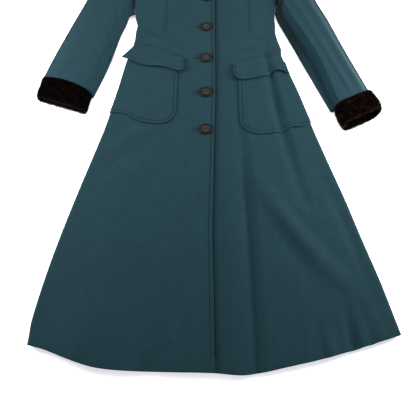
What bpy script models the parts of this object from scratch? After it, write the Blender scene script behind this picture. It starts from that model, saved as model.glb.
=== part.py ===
"""A long stand-collar coat in thick wool with fur cuffs, buttoned up and laid flat on its back.

Sizes are in millimetres. On the surface that the coat lies on, x runs from the wearer's right to
the wearer's left and y from the hem to the collar, with y = 0 on the waist seam. The front lies on
top of the back, and both roll into each other at the folded sides. The wearer's right side has
negative x, and its front laps over the left one. Each piece is the piece that a maker would cut.
"""

import math

import bmesh
import bpy
import numpy as np
from mathutils import Matrix, Vector

MM = 0.001
CLOTH = 2.5  # wall of the wool cloth with its interlining
SEAM = 0.4  # gap between two pieces that are sewn together
ROLL_RADIUS = 8.0  # outer radius of a folded side, so the coat is 16 mm thick there
FLAT_TOP = 2 * ROLL_RADIUS
ROLL_ANGLES = (0, 30, 60, 90)  # degrees round a folded side, from its outermost line to the top
ROLL_DEPTHS = [ROLL_RADIUS * (1 - math.cos(math.radians(a))) for a in ROLL_ANGLES]
ROLL_STEPS = len(ROLL_ANGLES) - 1
CENTRE_X = -6.0  # centre line of the neck and the back
SHOULDER_Y = 350.0
ARMPIT_Y = 190.0

# Rows down each panel and columns across it
SKIRT_ROWS = {"front": 24, "back": 12}
SIDE_ROWS = 7
ARMHOLE_STEPS = 3
SIDE_COLUMNS = 3
SHOULDER_COLUMNS = 4
NECK_COLUMNS = 4

# Front edge of the lapping right front: y, x
FRONT_EDGE = ((318, 18), (0, 18), (-200, 18), (-310, 15), (-440, 12), (-563, 9), (-700, 11), (-860, 13))
OVERLAP = 44.0  # the left front reaches this far under the right one
LAP_STEP = CLOTH + 0.5  # the left front lies this much lower under the lap
LAP_RUN = 52.0  # and is back at full height this far beyond the edge

# Folded sides below the armpit: y, right side x, left side x
SIDES = (
    (190, -210, 200),
    (120, -207, 195),
    (85, -204, 187),
    (49, -199, 183),
    (31, -193, 184),
    (5, -196, 183),
    (-22, -197, 187),
    (-56, -203, 195),
    (-73, -207, 194),
    (-106, -214, 203),
    (-138, -220, 210),
    (-185, -228, 225),
    (-246, -241, 242),
    (-304, -254, 258),
    (-386, -276, 282),
    (-489, -304, 313),
    (-585, -328, 339),
    (-673, -347, 364),
    (-756, -361, 384),
    (-785, -362, 391),
    (-805, -363, 398),
)

# Hem from the right side fold to the left one: x, y
HEM = (
    (-363, -804),
    (-327, -813),
    (-272, -832),
    (-224, -846),
    (-172, -852),
    (-84, -855),
    (13, -857),
    (66, -861),
    (107, -856),
    (151, -847),
    (222, -832),
    (295, -813),
    (391, -785),
)

# What differs between the wearer's two sides
RIGHT = {
    "name": "right",
    "sign": -1,
    "shoulder": (-196, SHOULDER_Y),
    "armpit": (-210, ARMPIT_Y),
    "armhole": ((-206, 205), (-178, 234), (-167, 280)),
    "princess": ((-120, 0), (-121, 110), (-136, 190)),
    "hem_end": (-363, -804),
    "skirt_columns": {"front": 13, "back": 6},
}
LEFT = {
    "name": "left",
    "sign": 1,
    "shoulder": (182, SHOULDER_Y),
    "armpit": (200, ARMPIT_Y),
    "armhole": ((196, 205), (168, 234), (156, 280)),
    "princess": ((118, 0), (119, 110), (132, 190)),
    "hem_end": (391, -785),
    "skirt_columns": {"front": 17, "back": 6},
}
NECK_SIDE = (72.0, 385.0)  # where the shoulder seam meets the collar: from the centre line, y
FRONT_NECK_Y = 318.0
BACK_NECK_Y = 368.0
UNDER_NECK_RISE = 5.0  # the left front's hidden neck end sits this much higher than the right one's

# Soft hills of the front: x, y, half width in x, half length in y, height
HILLS = (
    (-8, -170, 210, 230, 3),
    (-92, 105, 95, 110, 7),
    (84, 105, 95, 110, 6),
    (-262, -820, 80, 150, 9),
    (60, -620, 300, 330, 4),
)

# Creases and ridges of the front: start, middle and end, half width, height at the three points
FOLDS = (
    ((76, -250), (88, -490), (97, -858), 24, (-2, -8, -8)),
    ((48, -330), (50, -560), (52, -850), 30, (1, 4, 3)),
    ((150, -40), (170, -240), (218, -500), 22, (-3, -9, -3)),
    ((112, -424), (180, -552), (282, -676), 34, (2, 9, 4)),
    ((140, -500), (190, -620), (256, -735), 26, (0, -2, 0)),
    ((252, -390), (312, -560), (352, -720), 24, (-1, -7, -2)),
    ((280, -690), (285, -750), (291, -808), 18, (0, -4, -8)),
    ((232, -730), (240, -780), (246, -828), 20, (0, 3, 6)),
    ((-120, -300), (-185, -325), (-250, -375), 24, (1, 3, 1)),
    ((-140, -345), (-190, -378), (-258, -420), 24, (0, -2, -1)),
    ((-108, -760), (-112, -810), (-116, -853), 34, (0, -3, -6)),
    ((-196, 40), (-120, 8), (-56, -34), 15, (2, 5, 1)),
    ((-196, -2), (-140, -22), (-80, -60), 15, (-2, -4, -1)),
    ((62, -56), (120, -58), (182, -48), 15, (1, 4, 2)),
    ((70, -28), (120, -26), (170, -20), 15, (-1, -4, -1)),
)
RELIEF_FADE = 40.0  # folds and hills fade out this far from a folded side
RELIEF_TOP = (150.0, 290.0)  # and between these heights on the chest

# Sleeve stations from the armhole to the fur: outer fold x, y, inner fold x, y, crown height
SLEEVES = {
    "right": (
        (-196, 350, -210, 190, 0),
        (-266, 318, -212, 145, 3),
        (-316, 220, -208, 104, 6),
        (-342, 118, -204.8, 66, 8),
        (-370, 33, -230, 14, 8),
        (-394, -42, -248, -60, 8),
        (-411, -98, -264, -126, 8),
        (-427, -156, -290, -206, 8),
    ),
    "left": (
        (182, 350, 200, 190, 0),
        (240, 320, 202, 145, 5),
        (274, 226, 194.4, 104, 13),
        (303, 121, 187.6, 64, 18),
        (330, 48, 204, 13, 20),
        (355, -30, 228, -49, 20),
        (379, -102, 256, -122, 20),
        (413, -199, 306, -250, 21),
    ),
}
SLEEVE_ROWS = 12
CROWN_SIDE = 0.3  # share of the width over which the crown rises from the outer fold
FLANGE = {"right": 0.0, "left": 0.26}  # flat strip of under sleeve that shows beside the top sleeve
FLANGE_RISE = 0.06  # share of the width over which the top sleeve rises from that strip

# Fur cuffs: length along the lower side, height at the sleeve and at the mouth, extra half width,
# how much narrower the cuff starts, degrees that it leans towards the hem, how far its upper edge
# curves up on the top side,
# change of length for each millimetre across, and how much shorter the top side is
CUFFS = {
    "right": {
        "length": 54.0,
        "height": 27.0,
        "mouth": 25.0,
        "proud": -2.5,
        "start_in": 0.0,
        "lean": 11.0,
        "bulge": 14.0,
        "slant": -0.04,
        "rake": 0.0,
    },
    "left": {
        "length": 62.0,
        "height": 41.0,
        "mouth": 43.0,
        "proud": 0.5,
        "start_in": 4.0,
        "lean": -7.0,
        "bulge": 2.0,
        "slant": 0.0,
        "rake": 8.0,
    },
}
FUR = 8.0
CUFF_ROWS = 4
CUFF_SPAN = 5  # steps along the flat top or bottom of a cuff
CUFF_TURN = 5  # steps round each of its ends
MOUTH_ROUNDING = 3.0

COLLAR_HEIGHT = 50.0
COLLAR_OPEN = 42.0  # depth of the ring at the collar's top edge, front to back
COLLAR_TOP_SHARE = 0.95  # its width there, compared with the neck seam
COLLAR_FRONT_RUN = math.sqrt(COLLAR_HEIGHT**2 - (COLLAR_OPEN - FLAT_TOP) ** 2)
COLLAR_ROWS = 4

# Patch pockets: inner edge from the top, then the bottom from the rounded corner to the side
POCKETS = {
    "right": {
        "top": ((-79, -104), (-217, -84)),
        "inner": ((-79, -104), (-79, -232), (-82, -262), (-94, -284)),
        "bottom": ((-94, -284), (-118, -292), (-167, -284), (-205, -263), (-243, -258)),
    },
    "left": {
        "top": ((78, -122), (205, -100)),
        "inner": ((78, -122), (78, -272), (83, -296), (98, -313)),
        "bottom": ((98, -313), (125, -320), (172, -313), (206, -300), (232, -298), (249, -286)),
    },
}
POCKET_STEPS = 4  # straight runs along each curved edge
CUT_REACH = 25.0  # faces this near an edge are cut along it
CUT_SNAP = 0.5  # and a corner this near it counts as on it

# Flaps: seam from the inner to the outer end, and the free edge below it
FLAPS = {
    "right": {
        "seam": ((-65, -90), (-124, -61), (-186, -40)),
        "edge": ((-62, -124), (-65, -135), (-76, -137), (-112, -124), (-164, -117), (-208, -97), (-225, -91)),
    },
    "left": {
        "seam": ((66, -109), (120, -90), (186, -70)),
        "edge": ((66, -142), (70, -155), (84, -164), (102, -162), (139, -152), (178, -133), (209, -144)),
    },
}
FLAP_ROWS = 6
FLAP_SHARES = (0, 0.035, 0.08, 0.14, 0.25, 0.37, 0.5, 0.62, 0.74, 0.87, 1)  # columns, closer at the rounded end
FLAP_GAP = 0.8  # between the cloth and the flap at its seam
FLAP_SEAM_SHARE = 0.3  # share of the flap's height over which it climbs onto the pocket
FLAP_LIFT = 2.2  # how far its free edge stands off the pocket

BUTTON_PITCH = 107.5
LOWEST_BUTTON_Y = -306.5
BUTTON_X = -5.0
BUTTON_COUNT = 7  # the last one closes the collar
BUTTON_STEPS = 18
BUTTON_GAP = 0.6
# Turned profile of a button from its dished face to its back: radius, height
BUTTON_PROFILE = ((0, 2.4), (8.5, 2.7), (11, 4.1), (13.2, 4.4), (15, 3.0), (14.6, 1.2), (12, 0), (0, 0))

WOOL = ("wool", (0.028, 0.072, 0.088), 0.9)
FUR_PILE = ("fur", (0.012, 0.006, 0.004), 0.8)
HORN = ("horn", (0.03, 0.024, 0.022), 0.4)


def curve(points, share):
    """A point of the smooth curve through some points, at a share of its length."""
    points = np.array(points, float)
    steps = np.linalg.norm(np.diff(points, axis=0), axis=1)
    places = np.concatenate([[0], np.cumsum(steps)]) / steps.sum()
    i = min(max(int(np.searchsorted(places, share)) - 1, 0), len(points) - 2)
    t = (share - places[i]) / (places[i + 1] - places[i])
    width = places[i + 1] - places[i]

    def slope(k):
        lower, upper = max(k - 1, 0), min(k + 1, len(points) - 1)
        return (points[upper] - points[lower]) / (places[upper] - places[lower]) * width

    square, cube = t * t, t * t * t
    return (
        (2 * cube - 3 * square + 1) * points[i]
        + (cube - 2 * square + t) * slope(i)
        + (3 * square - 2 * cube) * points[i + 1]
        + (cube - square) * slope(i + 1)
    )


def samples(points, shares):
    return np.array([curve(points, s) for s in shares])


def even(count):
    return np.linspace(0, 1, count + 1)


def length_of(points, count=60):
    line = samples(points, even(count))
    return np.linalg.norm(np.diff(line, axis=0), axis=1).sum()


def from_start(points, steps):
    """Shares for the roll at a curve's start, then even steps over the rest."""
    near = np.array(ROLL_DEPTHS) / length_of(points)
    return np.concatenate([near[:-1], near[-1] + (1 - near[-1]) * even(steps)])


def table_value(table, key, column):
    """Reads a table whose rows are sorted by their first value, smoothly between rows."""
    rows = sorted(table)
    keys = [r[0] for r in rows]
    key = min(max(key, keys[0]), keys[-1])
    i = min(max(int(np.searchsorted(keys, key)) - 1, 0), len(rows) - 2)
    width = keys[i + 1] - keys[i]
    t = (key - keys[i]) / width

    def slope(k):
        lower, upper = max(k - 1, 0), min(k + 1, len(rows) - 1)
        return (rows[upper][column] - rows[lower][column]) / (keys[upper] - keys[lower]) * width

    square, cube = t * t, t * t * t
    return (
        (2 * cube - 3 * square + 1) * rows[i][column]
        + (cube - 2 * square + t) * slope(i)
        + (3 * square - 2 * cube) * rows[i + 1][column]
        + (cube - square) * slope(i + 1)
    )


def side_x(side, y):
    return table_value(SIDES, y, 1 if side["sign"] < 0 else 2)


def edge_x(y):
    return table_value(FRONT_EDGE, y, 1)


def ease(t):
    t = min(max(t, 0.0), 1.0)
    return t * t * (3 - 2 * t)


def patch(start, end, first, last):
    """Fills four border curves: start and end are the first and last column, first and last the rows."""
    rows, columns = len(start), len(first)

    def shares(line):
        steps = np.concatenate([[0], np.cumsum(np.linalg.norm(np.diff(line, axis=0), axis=1))])
        return steps / steps[-1]

    down_start, down_end = shares(start), shares(end)
    across_first, across_last = shares(first), shares(last)
    grid = np.zeros((rows, columns, 2))
    for i in range(rows):
        for j in range(columns):
            t = down_start[i] + (down_end[i] - down_start[i]) * across_first[j]
            s = across_first[j] + (across_last[j] - across_first[j]) * t
            t = down_start[i] + (down_end[i] - down_start[i]) * s
            corners = (
                (1 - s) * (1 - t) * first[0] + s * (1 - t) * first[-1] + (1 - s) * t * last[0] + s * t * last[-1]
            )
            grid[i, j] = (1 - t) * first[j] + t * last[j] + (1 - s) * start[i] + s * end[i] - corners
    return grid


def distance_to_fold(x, y, start, middle, end):
    """Distance from a point to a curved fold line, and the share along the line."""
    shares = np.linspace(0, 1, 13)[:, None]
    control = 2 * np.array(middle, float) - (np.array(start, float) + np.array(end, float)) / 2
    line = (1 - shares) ** 2 * start + 2 * shares * (1 - shares) * control + shares**2 * np.array(end)
    steps = line[1:] - line[:-1]
    to_point = np.array((x, y)) - line[:-1]
    along = np.clip((to_point * steps).sum(1) / (steps * steps).sum(1), 0, 1)
    gaps = np.linalg.norm(to_point - along[:, None] * steps, axis=1)
    nearest = int(np.argmin(gaps))
    return gaps[nearest], (nearest + along[nearest]) / len(steps)


def relief(x, y):
    """Height that hills and folds add to the front."""
    total = 0.0
    for hill_x, hill_y, half_width, half_length, height in HILLS:
        away = math.hypot((x - hill_x) / half_width, (y - hill_y) / half_length)
        total += height * (1 - ease(away))
    for start, middle, end, half_width, heights in FOLDS:
        away, share = distance_to_fold(x, y, start, middle, end)
        if away < half_width:
            height = np.interp(share, (0, 0.5, 1), heights)
            total += height * (1 - ease(away / half_width))
    side = RIGHT if x < 0 else LEFT
    inside = abs(side_x(side, y)) - abs(x)
    low, high = RELIEF_TOP
    return total * ease((inside - ROLL_RADIUS) / RELIEF_FADE) * (1 - ease((y - low) / (high - low)))


def front_height(x, y):
    return FLAT_TOP + relief(x, y)


def under_lap_height(x, y):
    """The left front lies lower where the right one laps over it."""
    return front_height(x, y) - LAP_STEP * (1 - ease((x - edge_x(y) - 6) / LAP_RUN))


def back_height(x, y):
    return 0.0


def upright(height, x, y, up):
    """A point of a layer and its outward direction, away from the folded sides."""
    step = 1.0
    slope_x = (height(x + step, y) - height(x - step, y)) / (2 * step)
    slope_y = (height(x, y + step) - height(x, y - step)) / (2 * step)
    normal = np.array((-slope_x, -slope_y, 1.0))
    return np.array((x, y, height(x, y))), up * normal / np.linalg.norm(normal)


def rolled(x, y, depth, out, up):
    """A point on the roll of a folded side, at a depth from its outermost line."""
    across = 1 - depth / ROLL_RADIUS
    rise = math.sqrt(max(0.0, 1 - across * across))
    place = np.array((x, y, ROLL_RADIUS + up * max(ROLL_RADIUS * rise, SEAM / 2)))
    return place, np.array((out[0] * across, out[1] * across, up * rise))


def layer(grid, height, up, fold_start=False, fold_end=False):
    """Lifts a plan grid to a layer. Its first or last columns may roll down at a folded side."""
    rows, columns, _ = grid.shape
    places, normals = np.zeros((rows, columns, 3)), np.zeros((rows, columns, 3))
    for i in range(rows):
        out_start = unit(grid[i, 0] - grid[i, ROLL_STEPS])
        out_end = unit(grid[i, -1] - grid[i, -1 - ROLL_STEPS])
        for j in range(columns):
            x, y = grid[i, j]
            from_end = columns - 1 - j
            if fold_start and j < ROLL_STEPS:
                places[i, j], normals[i, j] = rolled(x, y, ROLL_DEPTHS[j], out_start, up)
            elif fold_end and from_end < ROLL_STEPS:
                places[i, j], normals[i, j] = rolled(x, y, ROLL_DEPTHS[from_end], out_end, up)
            else:
                places[i, j], normals[i, j] = upright(height, x, y, up)
    return places, normals


def unit(vector):
    return vector / np.linalg.norm(vector)


def material(finish):
    name, colour, roughness = finish
    found = bpy.data.materials.get(name)
    if found:
        return found
    made = bpy.data.materials.new(name)
    made.use_nodes = True
    shader = made.node_tree.nodes["Principled BSDF"]
    shader.inputs["Base Color"].default_value = (*colour, 1)
    shader.inputs["Roughness"].default_value = roughness
    shader.inputs["Metallic"].default_value = 0.0
    return made


def add_object(name, mesh, finish):
    mesh.materials.append(material(finish))
    mesh.shade_smooth()
    mesh.set_sharp_from_angle(angle=math.radians(50))
    made = bpy.data.objects.new(name, mesh)
    COAT.objects.link(made)
    return made


def grid_faces(rows, columns, ring=False):
    """Triangles of a grid of points. A ring joins its last column to its first."""
    faces = []
    for i in range(rows - 1):
        for j in range(columns if ring else columns - 1):
            a, b = i * columns + j, i * columns + (j + 1) % columns
            faces += [(a, b, b + columns), (a, b + columns, a + columns)]
    return faces


def slab(name, faces, outer, inner, finish):
    """Closes the space between an outer and an inner skin that have the same faces."""
    shape = bmesh.new()
    over = [shape.verts.new(Vector(p) * MM) for p in outer]
    under = [shape.verts.new(Vector(p) * MM) for p in inner]
    sides = {}
    for face in faces:
        shape.faces.new([over[k] for k in face])
        shape.faces.new([under[k] for k in reversed(face)])
        for a, b in zip(face, face[1:] + face[:1]):
            sides[a, b] = None
    for a, b in sides:
        if (b, a) not in sides:
            shape.faces.new((over[b], over[a], under[a], under[b]))
    bmesh.ops.recalc_face_normals(shape, faces=shape.faces)
    mesh = bpy.data.meshes.new(name)
    shape.to_mesh(mesh)
    shape.free()
    return add_object(name, mesh, finish)


def wall(name, outer, inner, finish, ring=False):
    """Closes the space between an outer and an inner grid of points."""
    faces = grid_faces(*outer.shape[:2], ring)
    return slab(name, faces, outer.reshape(-1, 3), inner.reshape(-1, 3), finish)


def cloth_wall(name, places, normals):
    return wall(name, places, places - normals * CLOTH, WOOL)


def armhole_line(side):
    return (side["armpit"], *side["armhole"], side["shoulder"])


def armhole_samples(side):
    """The armhole from the armpit to the shoulder, with roll steps at both ends."""
    line = armhole_line(side)
    near = np.array(ROLL_DEPTHS) / length_of(line)
    lower = near[-1] + (0.5 - near[-1]) * even(SIDE_COLUMNS)
    upper = 0.5 + (0.5 - near[-1]) * even(ARMHOLE_STEPS)
    shares = np.concatenate([near[:-1], lower, upper[1:], 1 - near[::-1][1:]])
    return samples(line, shares)


def skirt(side, kind, height, up):
    """One skirt panel, from its folded side to the front edge or the centre back."""
    rows = even(SKIRT_ROWS[kind])
    columns = side["skirt_columns"][kind]
    hem_x, hem_y = side["hem_end"]
    fold = np.array([(side_x(side, t * hem_y), t * hem_y) for t in rows])
    middle_y = table_value(HEM, edge_x(FRONT_EDGE[-1][0]), 1)
    inner = np.array([(inner_edge(side, kind, t * middle_y), t * middle_y) for t in rows])
    waist, hem = np.array((fold[0], inner[0])), np.array((fold[-1], inner[-1]))
    top = samples(waist, from_start(waist, columns))
    bottom = samples(hem, from_start(hem, columns))
    bottom[:, 1] = [table_value(HEM, x, 1) for x in bottom[:, 0]]
    bottom[0, 1], inner[-1, 1] = hem_y, bottom[-1, 1]
    grid = patch(fold, inner, top, bottom)
    grid[:, :, 1] -= SEAM / 2 * (1 - rows)[:, None]
    places, normals = layer(grid, height, up, fold_start=True)
    cloth_wall(f"skirt_{kind}_{side['name']}", places, normals)
    return grid, places, normals


def inner_edge(side, kind, y):
    """Where a panel ends: at the front edge, under the lap, or at the centre back seam."""
    if kind == "back":
        return CENTRE_X + side["sign"] * SEAM / 2
    return edge_x(y) - (0 if side["sign"] < 0 else OVERLAP)


def princess_samples(side, junction):
    return samples((*side["princess"], tuple(junction)), even(SIDE_ROWS))


def bodice_side(side, kind, height, up):
    """The side panel of the bodice, from the folded side to the princess seam."""
    armhole = armhole_samples(side)
    top = armhole[: ROLL_STEPS + SIDE_COLUMNS + 1]
    shift = np.array((side["sign"] * SEAM / 2, 0))
    princess = princess_samples(side, top[-1]) + shift
    top = top.copy()
    top[-1] = princess[-1]
    fold = np.array([(side_x(side, y), y) for y in ARMPIT_Y * even(SIDE_ROWS)])
    fold[-1] = top[0]
    bottom = samples((fold[0], princess[0]), from_start((fold[0], princess[0]), SIDE_COLUMNS))
    grid = patch(fold, princess, bottom, top)
    grid[:, :, 1] += SEAM / 2 * (1 - even(SIDE_ROWS))[:, None]
    cloth_wall(f"bodice_side_{kind}_{side['name']}", *layer(grid, height, up, fold_start=True))


def neck_line(side, kind):
    """Half of the neck seam, from the shoulder to the front edge or the centre back."""
    neck = (CENTRE_X + side["sign"] * NECK_SIDE[0], NECK_SIDE[1])
    if kind == "back":
        return (neck, (CENTRE_X + side["sign"] * 44, 371), (inner_edge(side, kind, 0), BACK_NECK_Y))
    end = inner_edge(side, kind, FRONT_NECK_Y)
    low = FRONT_NECK_Y + (UNDER_NECK_RISE if side is LEFT else 0)
    return (neck, (CENTRE_X + side["sign"] * 60, 346), (CENTRE_X + side["sign"] * 34, 324), (end, low))


def neck_samples(side, kind):
    line = neck_line(side, kind)
    return samples(line, from_start(line, NECK_COLUMNS))


def bodice_centre(side, kind, height, up):
    """The centre panel: waist, princess seam, armhole, shoulder, neck, and front edge or centre back."""
    armhole = armhole_samples(side)
    upper = armhole[ROLL_STEPS + SIDE_COLUMNS :]
    princess = princess_samples(side, upper[0])
    shift = np.array((-side["sign"] * SEAM / 2, 0))
    start = np.concatenate([princess + shift, upper[1:]])
    neck = neck_samples(side, kind)
    shoulder = samples((upper[-1], neck[0]), even(SHOULDER_COLUMNS))
    top = np.concatenate([shoulder, neck[1:]])
    rows = len(start) - 1
    top_y = neck[-1][1]
    near = 1 - np.array(ROLL_DEPTHS[::-1]) / top_y
    shares = np.concatenate([near[0] * even(rows - ROLL_STEPS), near[1:]])
    end = np.array([(inner_edge(side, kind, t * top_y), t * top_y) for t in shares])
    end[-1] = neck[-1]
    bottom = samples((start[0], end[0]), even(len(top) - 1))
    grid = patch(start, end, bottom, top)
    grid[:, :, 1] += SEAM / 2 * (1 - even(rows))[:, None]
    places, normals = layer(grid, height, up)
    roll_shoulder(grid, places, normals, up)
    cloth_wall(f"bodice_{kind}_{side['name']}", places, normals)


def roll_shoulder(grid, places, normals, up):
    """Rolls the last rows down at the shoulder seam, and round its end at the neck."""
    rows = len(grid)
    neck_corner = grid[-1, SHOULDER_COLUMNS]
    for step in range(ROLL_STEPS):
        i = rows - 1 - step
        for j in range(grid.shape[1]):
            x, y = grid[i, j]
            if j <= SHOULDER_COLUMNS:
                depth, out = ROLL_DEPTHS[step], unit(grid[-1, j] - grid[-1 - ROLL_STEPS, j])
            else:
                away = neck_corner - grid[i, j]
                depth, out = float(np.linalg.norm(away)), unit(away)
            if depth < ROLL_RADIUS:
                places[i, j], normals[i, j] = rolled(x, y, depth, out, up)


def sleeve_grid(side, up):
    """Plan grid of a sleeve, whose first row is the armhole and whose last row meets the fur."""
    table = np.array(SLEEVES[side["name"]], float)
    armhole = armhole_samples(side)[::-1] + np.array((side["sign"] * SEAM, -SEAM / 2))
    outer = samples(table[:, :2], even(SLEEVE_ROWS))
    inner = samples(table[:, 2:4], even(SLEEVE_ROWS))
    outer[0], inner[0] = armhole[0], armhole[-1]
    width = np.linalg.norm(outer[-1] - inner[-1])
    near = np.array(ROLL_DEPTHS) / width
    middle = len(armhole) - 1 - 2 * ROLL_STEPS
    shares = np.concatenate([near[:-1], near[-1] + (1 - 2 * near[-1]) * even(middle), 1 - near[::-1][1:]])
    last = outer[-1] + (inner[-1] - outer[-1]) * shares[:, None]
    if up > 0:
        _, along = sleeve_end_axes(side)
        last -= along * (CUFFS[side["name"]]["bulge"] * 4 * shares * (1 - shares))[:, None]
    return patch(outer, inner, armhole, last)


def sleeve_end_axes(side):
    """Directions across a sleeve's end, from its outer to its inner fold, and along it towards the hand."""
    last = np.array(SLEEVES[side["name"]][-1], float)
    across = unit(last[2:4] - last[:2])
    along = np.array((across[1], -across[0])) * (1 if across[0] > 0 else -1)
    lean = math.radians(CUFFS[side["name"]]["lean"])
    turned = (along[0] * math.cos(lean) - along[1] * math.sin(lean), along[0] * math.sin(lean) + along[1] * math.cos(lean))
    return across, np.array(turned)


def crown_profile(share, flange):
    """Height of the top sleeve across its width, from 0 at the outer fold to 0 at the inner one."""
    rise = math.sin(math.pi / 2 * min(1.0, share / CROWN_SIDE))
    if flange == 0:
        return rise * math.sin(math.pi / 2 * min(1.0, (1 - share) / CROWN_SIDE))
    return rise * ease((1 - flange - share) / FLANGE_RISE + 1)


def sleeve_layer(side, up):
    """Points and normals of the top or the under sleeve."""
    grid = sleeve_grid(side, up)
    places, normals = layer(grid, back_height, up, fold_start=True, fold_end=True)
    if up < 0:
        return places, normals
    rows, columns, _ = grid.shape
    table = np.array(SLEEVES[side["name"]], float)
    crowns = samples(table[:, [0, 1, 4]], even(SLEEVE_ROWS))[:, 2]
    for i in range(rows):
        taper = FLANGE[side["name"]] * (1 - 0.6 * ease((i / (rows - 1) - 0.7) / 0.3))
        first, last = grid[i, ROLL_STEPS], grid[i, columns - 1 - ROLL_STEPS]
        for j in range(ROLL_STEPS, columns - ROLL_STEPS):
            share = np.linalg.norm(grid[i, j] - first) / np.linalg.norm(last - first)
            places[i, j, 2] = FLAT_TOP + crowns[i] * crown_profile(share, taper)
    for i in range(rows):
        for j in range(ROLL_STEPS, columns - ROLL_STEPS):
            down = places[min(i + 1, rows - 1), j] - places[max(i - 1, 0), j]
            across = places[i, j + 1] - places[i, j - 1]
            normal = np.cross(down, across)
            normals[i, j] = unit(normal) * (1 if normal[2] > 0 else -1)
    normals[0, ROLL_STEPS : columns - ROLL_STEPS] = (0, 0, 1)
    return places, normals


def stadium(half_width, height):
    """A ring of points round a flattened tube that lies on z = 0: across and up, and the outward direction."""
    radius = height / 2
    flat = half_width - radius
    places, normals = [], []
    for centre, first_angle, edge_start in ((flat, -90, -flat), (-flat, 90, flat)):
        sign = 1 if centre > 0 else -1
        z = 0 if sign > 0 else height
        for share in even(CUFF_SPAN)[:-1]:
            places.append((edge_start + 2 * centre * share, z))
            normals.append((0, -sign))
        for share in even(CUFF_TURN)[:-1]:
            angle = math.radians(first_angle + 180 * share)
            places.append((centre + radius * math.cos(angle), radius + radius * math.sin(angle)))
            normals.append((math.cos(angle), math.sin(angle)))
    return np.array(places), np.array(normals)


def cuff(side):
    """A fur cuff: a thick flattened ring that carries on from the end of the sleeve."""
    sizes = CUFFS[side["name"]]
    last = np.array(SLEEVES[side["name"]][-1], float)
    outer_end, inner_end = last[:2], last[2:4]
    across, along = sleeve_end_axes(side)
    middle = (outer_end + inner_end) / 2
    sleeve_half = np.linalg.norm(inner_end - outer_end) / 2
    outer_rows, inner_rows = [], []
    for t in even(CUFF_ROWS):
        rounding = MOUTH_ROUNDING * ease((t - 0.75) / 0.25)
        height = sizes["height"] + (sizes["mouth"] - sizes["height"]) * t
        half_width = sleeve_half + sizes["proud"] - sizes["start_in"] * (1 - ease(t / 0.5))
        places, normals = stadium(half_width - rounding, height - rounding)
        over, under = [], []
        for (s, z), (turn_s, turn_z) in zip(places, normals):
            lift = sizes["bulge"] * max(0.0, 1 - (s / sleeve_half) ** 2) * ease(z / sizes["height"])
            start = SEAM - lift
            length = sizes["length"] + sizes["slant"] * s - sizes["rake"] * z / height
            distance = start + (length - start) * t
            plan = middle + across * s + along * distance
            over.append((*plan, z))
            inner_plan = plan - across * turn_s * FUR
            under.append((*inner_plan, z - turn_z * FUR))
        outer_rows.append(over)
        inner_rows.append(under)
    wall(f"fur_cuff_{side['name']}", np.array(outer_rows), np.array(inner_rows), FUR_PILE, ring=True)


def neck_edge(side, kind, reverse):
    """Points of one quarter of the neck seam, with the direction into the neck and the height there."""
    line = neck_samples(side, kind)
    corner = line[0]
    tangents = np.gradient(line, axis=0)
    edge = []
    for point, tangent in zip(line, tangents):
        inward = unit(np.array((tangent[1], -tangent[0])))
        if inward[1] < 0:
            inward = -inward
        up = 1 if kind == "front" else -1
        depth = min(float(np.linalg.norm(point - corner)), ROLL_RADIUS)
        rise = math.sqrt(max(0.0, 1 - (1 - depth / ROLL_RADIUS) ** 2))
        lap = LAP_STEP if side is LEFT and kind == "front" else 0
        edge.append((point, inward, ROLL_RADIUS * (1 + up * rise), up, lap))
    return edge[::-1] if reverse else edge


def collar():
    """A stand collar that carries on from the neck seam. Its right end laps over its left one."""
    ring = neck_edge(LEFT, "front", True) + neck_edge(LEFT, "back", False)[1:]
    ring += neck_edge(RIGHT, "back", True)[1:] + neck_edge(RIGHT, "front", False)[1:]
    outer_rows, inner_rows = [], []
    for t in even(COLLAR_ROWS):
        section = np.array([collar_point(*spot, t) for spot in ring])
        over, under = [], []
        for place, tangent in zip(section, np.gradient(section, axis=0)):
            out = unit(np.array((-tangent[2], 0, tangent[0])))
            over.append(place)
            under.append(place - out * CLOTH)
        outer_rows.append(over)
        inner_rows.append(under)
    wall("collar", np.array(outer_rows), np.array(inner_rows), WOOL)


def collar_point(point, inward, seam_height, up, lap, t):
    """A point of the collar's outer skin, from the neck seam at t = 0 to its top edge at t = 1."""
    x, y = point + inward * 2 * SEAM
    across = (x - CENTRE_X) * (1 + (COLLAR_TOP_SHARE - 1) * t)
    half_width, radius = NECK_SIDE[0] * COLLAR_TOP_SHARE, COLLAR_OPEN / 2
    past = min(radius, max(0.0, abs(across) - (half_width - radius)))
    open_height = radius + up * math.sqrt(radius**2 - past**2)
    z = seam_height + (open_height - seam_height) * t
    z -= lap * (1 - ease((x - edge_x(y) - 6) / LAP_RUN))
    run = COLLAR_HEIGHT + (COLLAR_FRONT_RUN - COLLAR_HEIGHT) * open_height / COLLAR_OPEN
    return np.array((CENTRE_X + across, y + run * t, z))


def outline_of_pocket(side):
    """The pocket's outline in plan, which reaches past the folded side."""
    sizes = POCKETS[side["name"]]
    beyond = side["sign"] * 30
    top_end, bottom_end = sizes["top"][-1], sizes["bottom"][-1]
    inner = samples(sizes["inner"], even(POCKET_STEPS))
    bottom = samples(sizes["bottom"], even(POCKET_STEPS))
    outside = [(bottom_end[0] + beyond, bottom_end[1]), (top_end[0] + beyond, top_end[1])]
    return np.concatenate([inner, bottom[1:], outside, [top_end]])


def inside_outline(point, outline):
    """Whether a point lies inside a closed outline."""
    inside = False
    for (ax, ay), (bx, by) in zip(outline, np.roll(outline, -1, axis=0)):
        if (ay > point[1]) != (by > point[1]):
            if point[0] < ax + (bx - ax) * (point[1] - ay) / (by - ay):
                inside = not inside
    return inside


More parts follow.
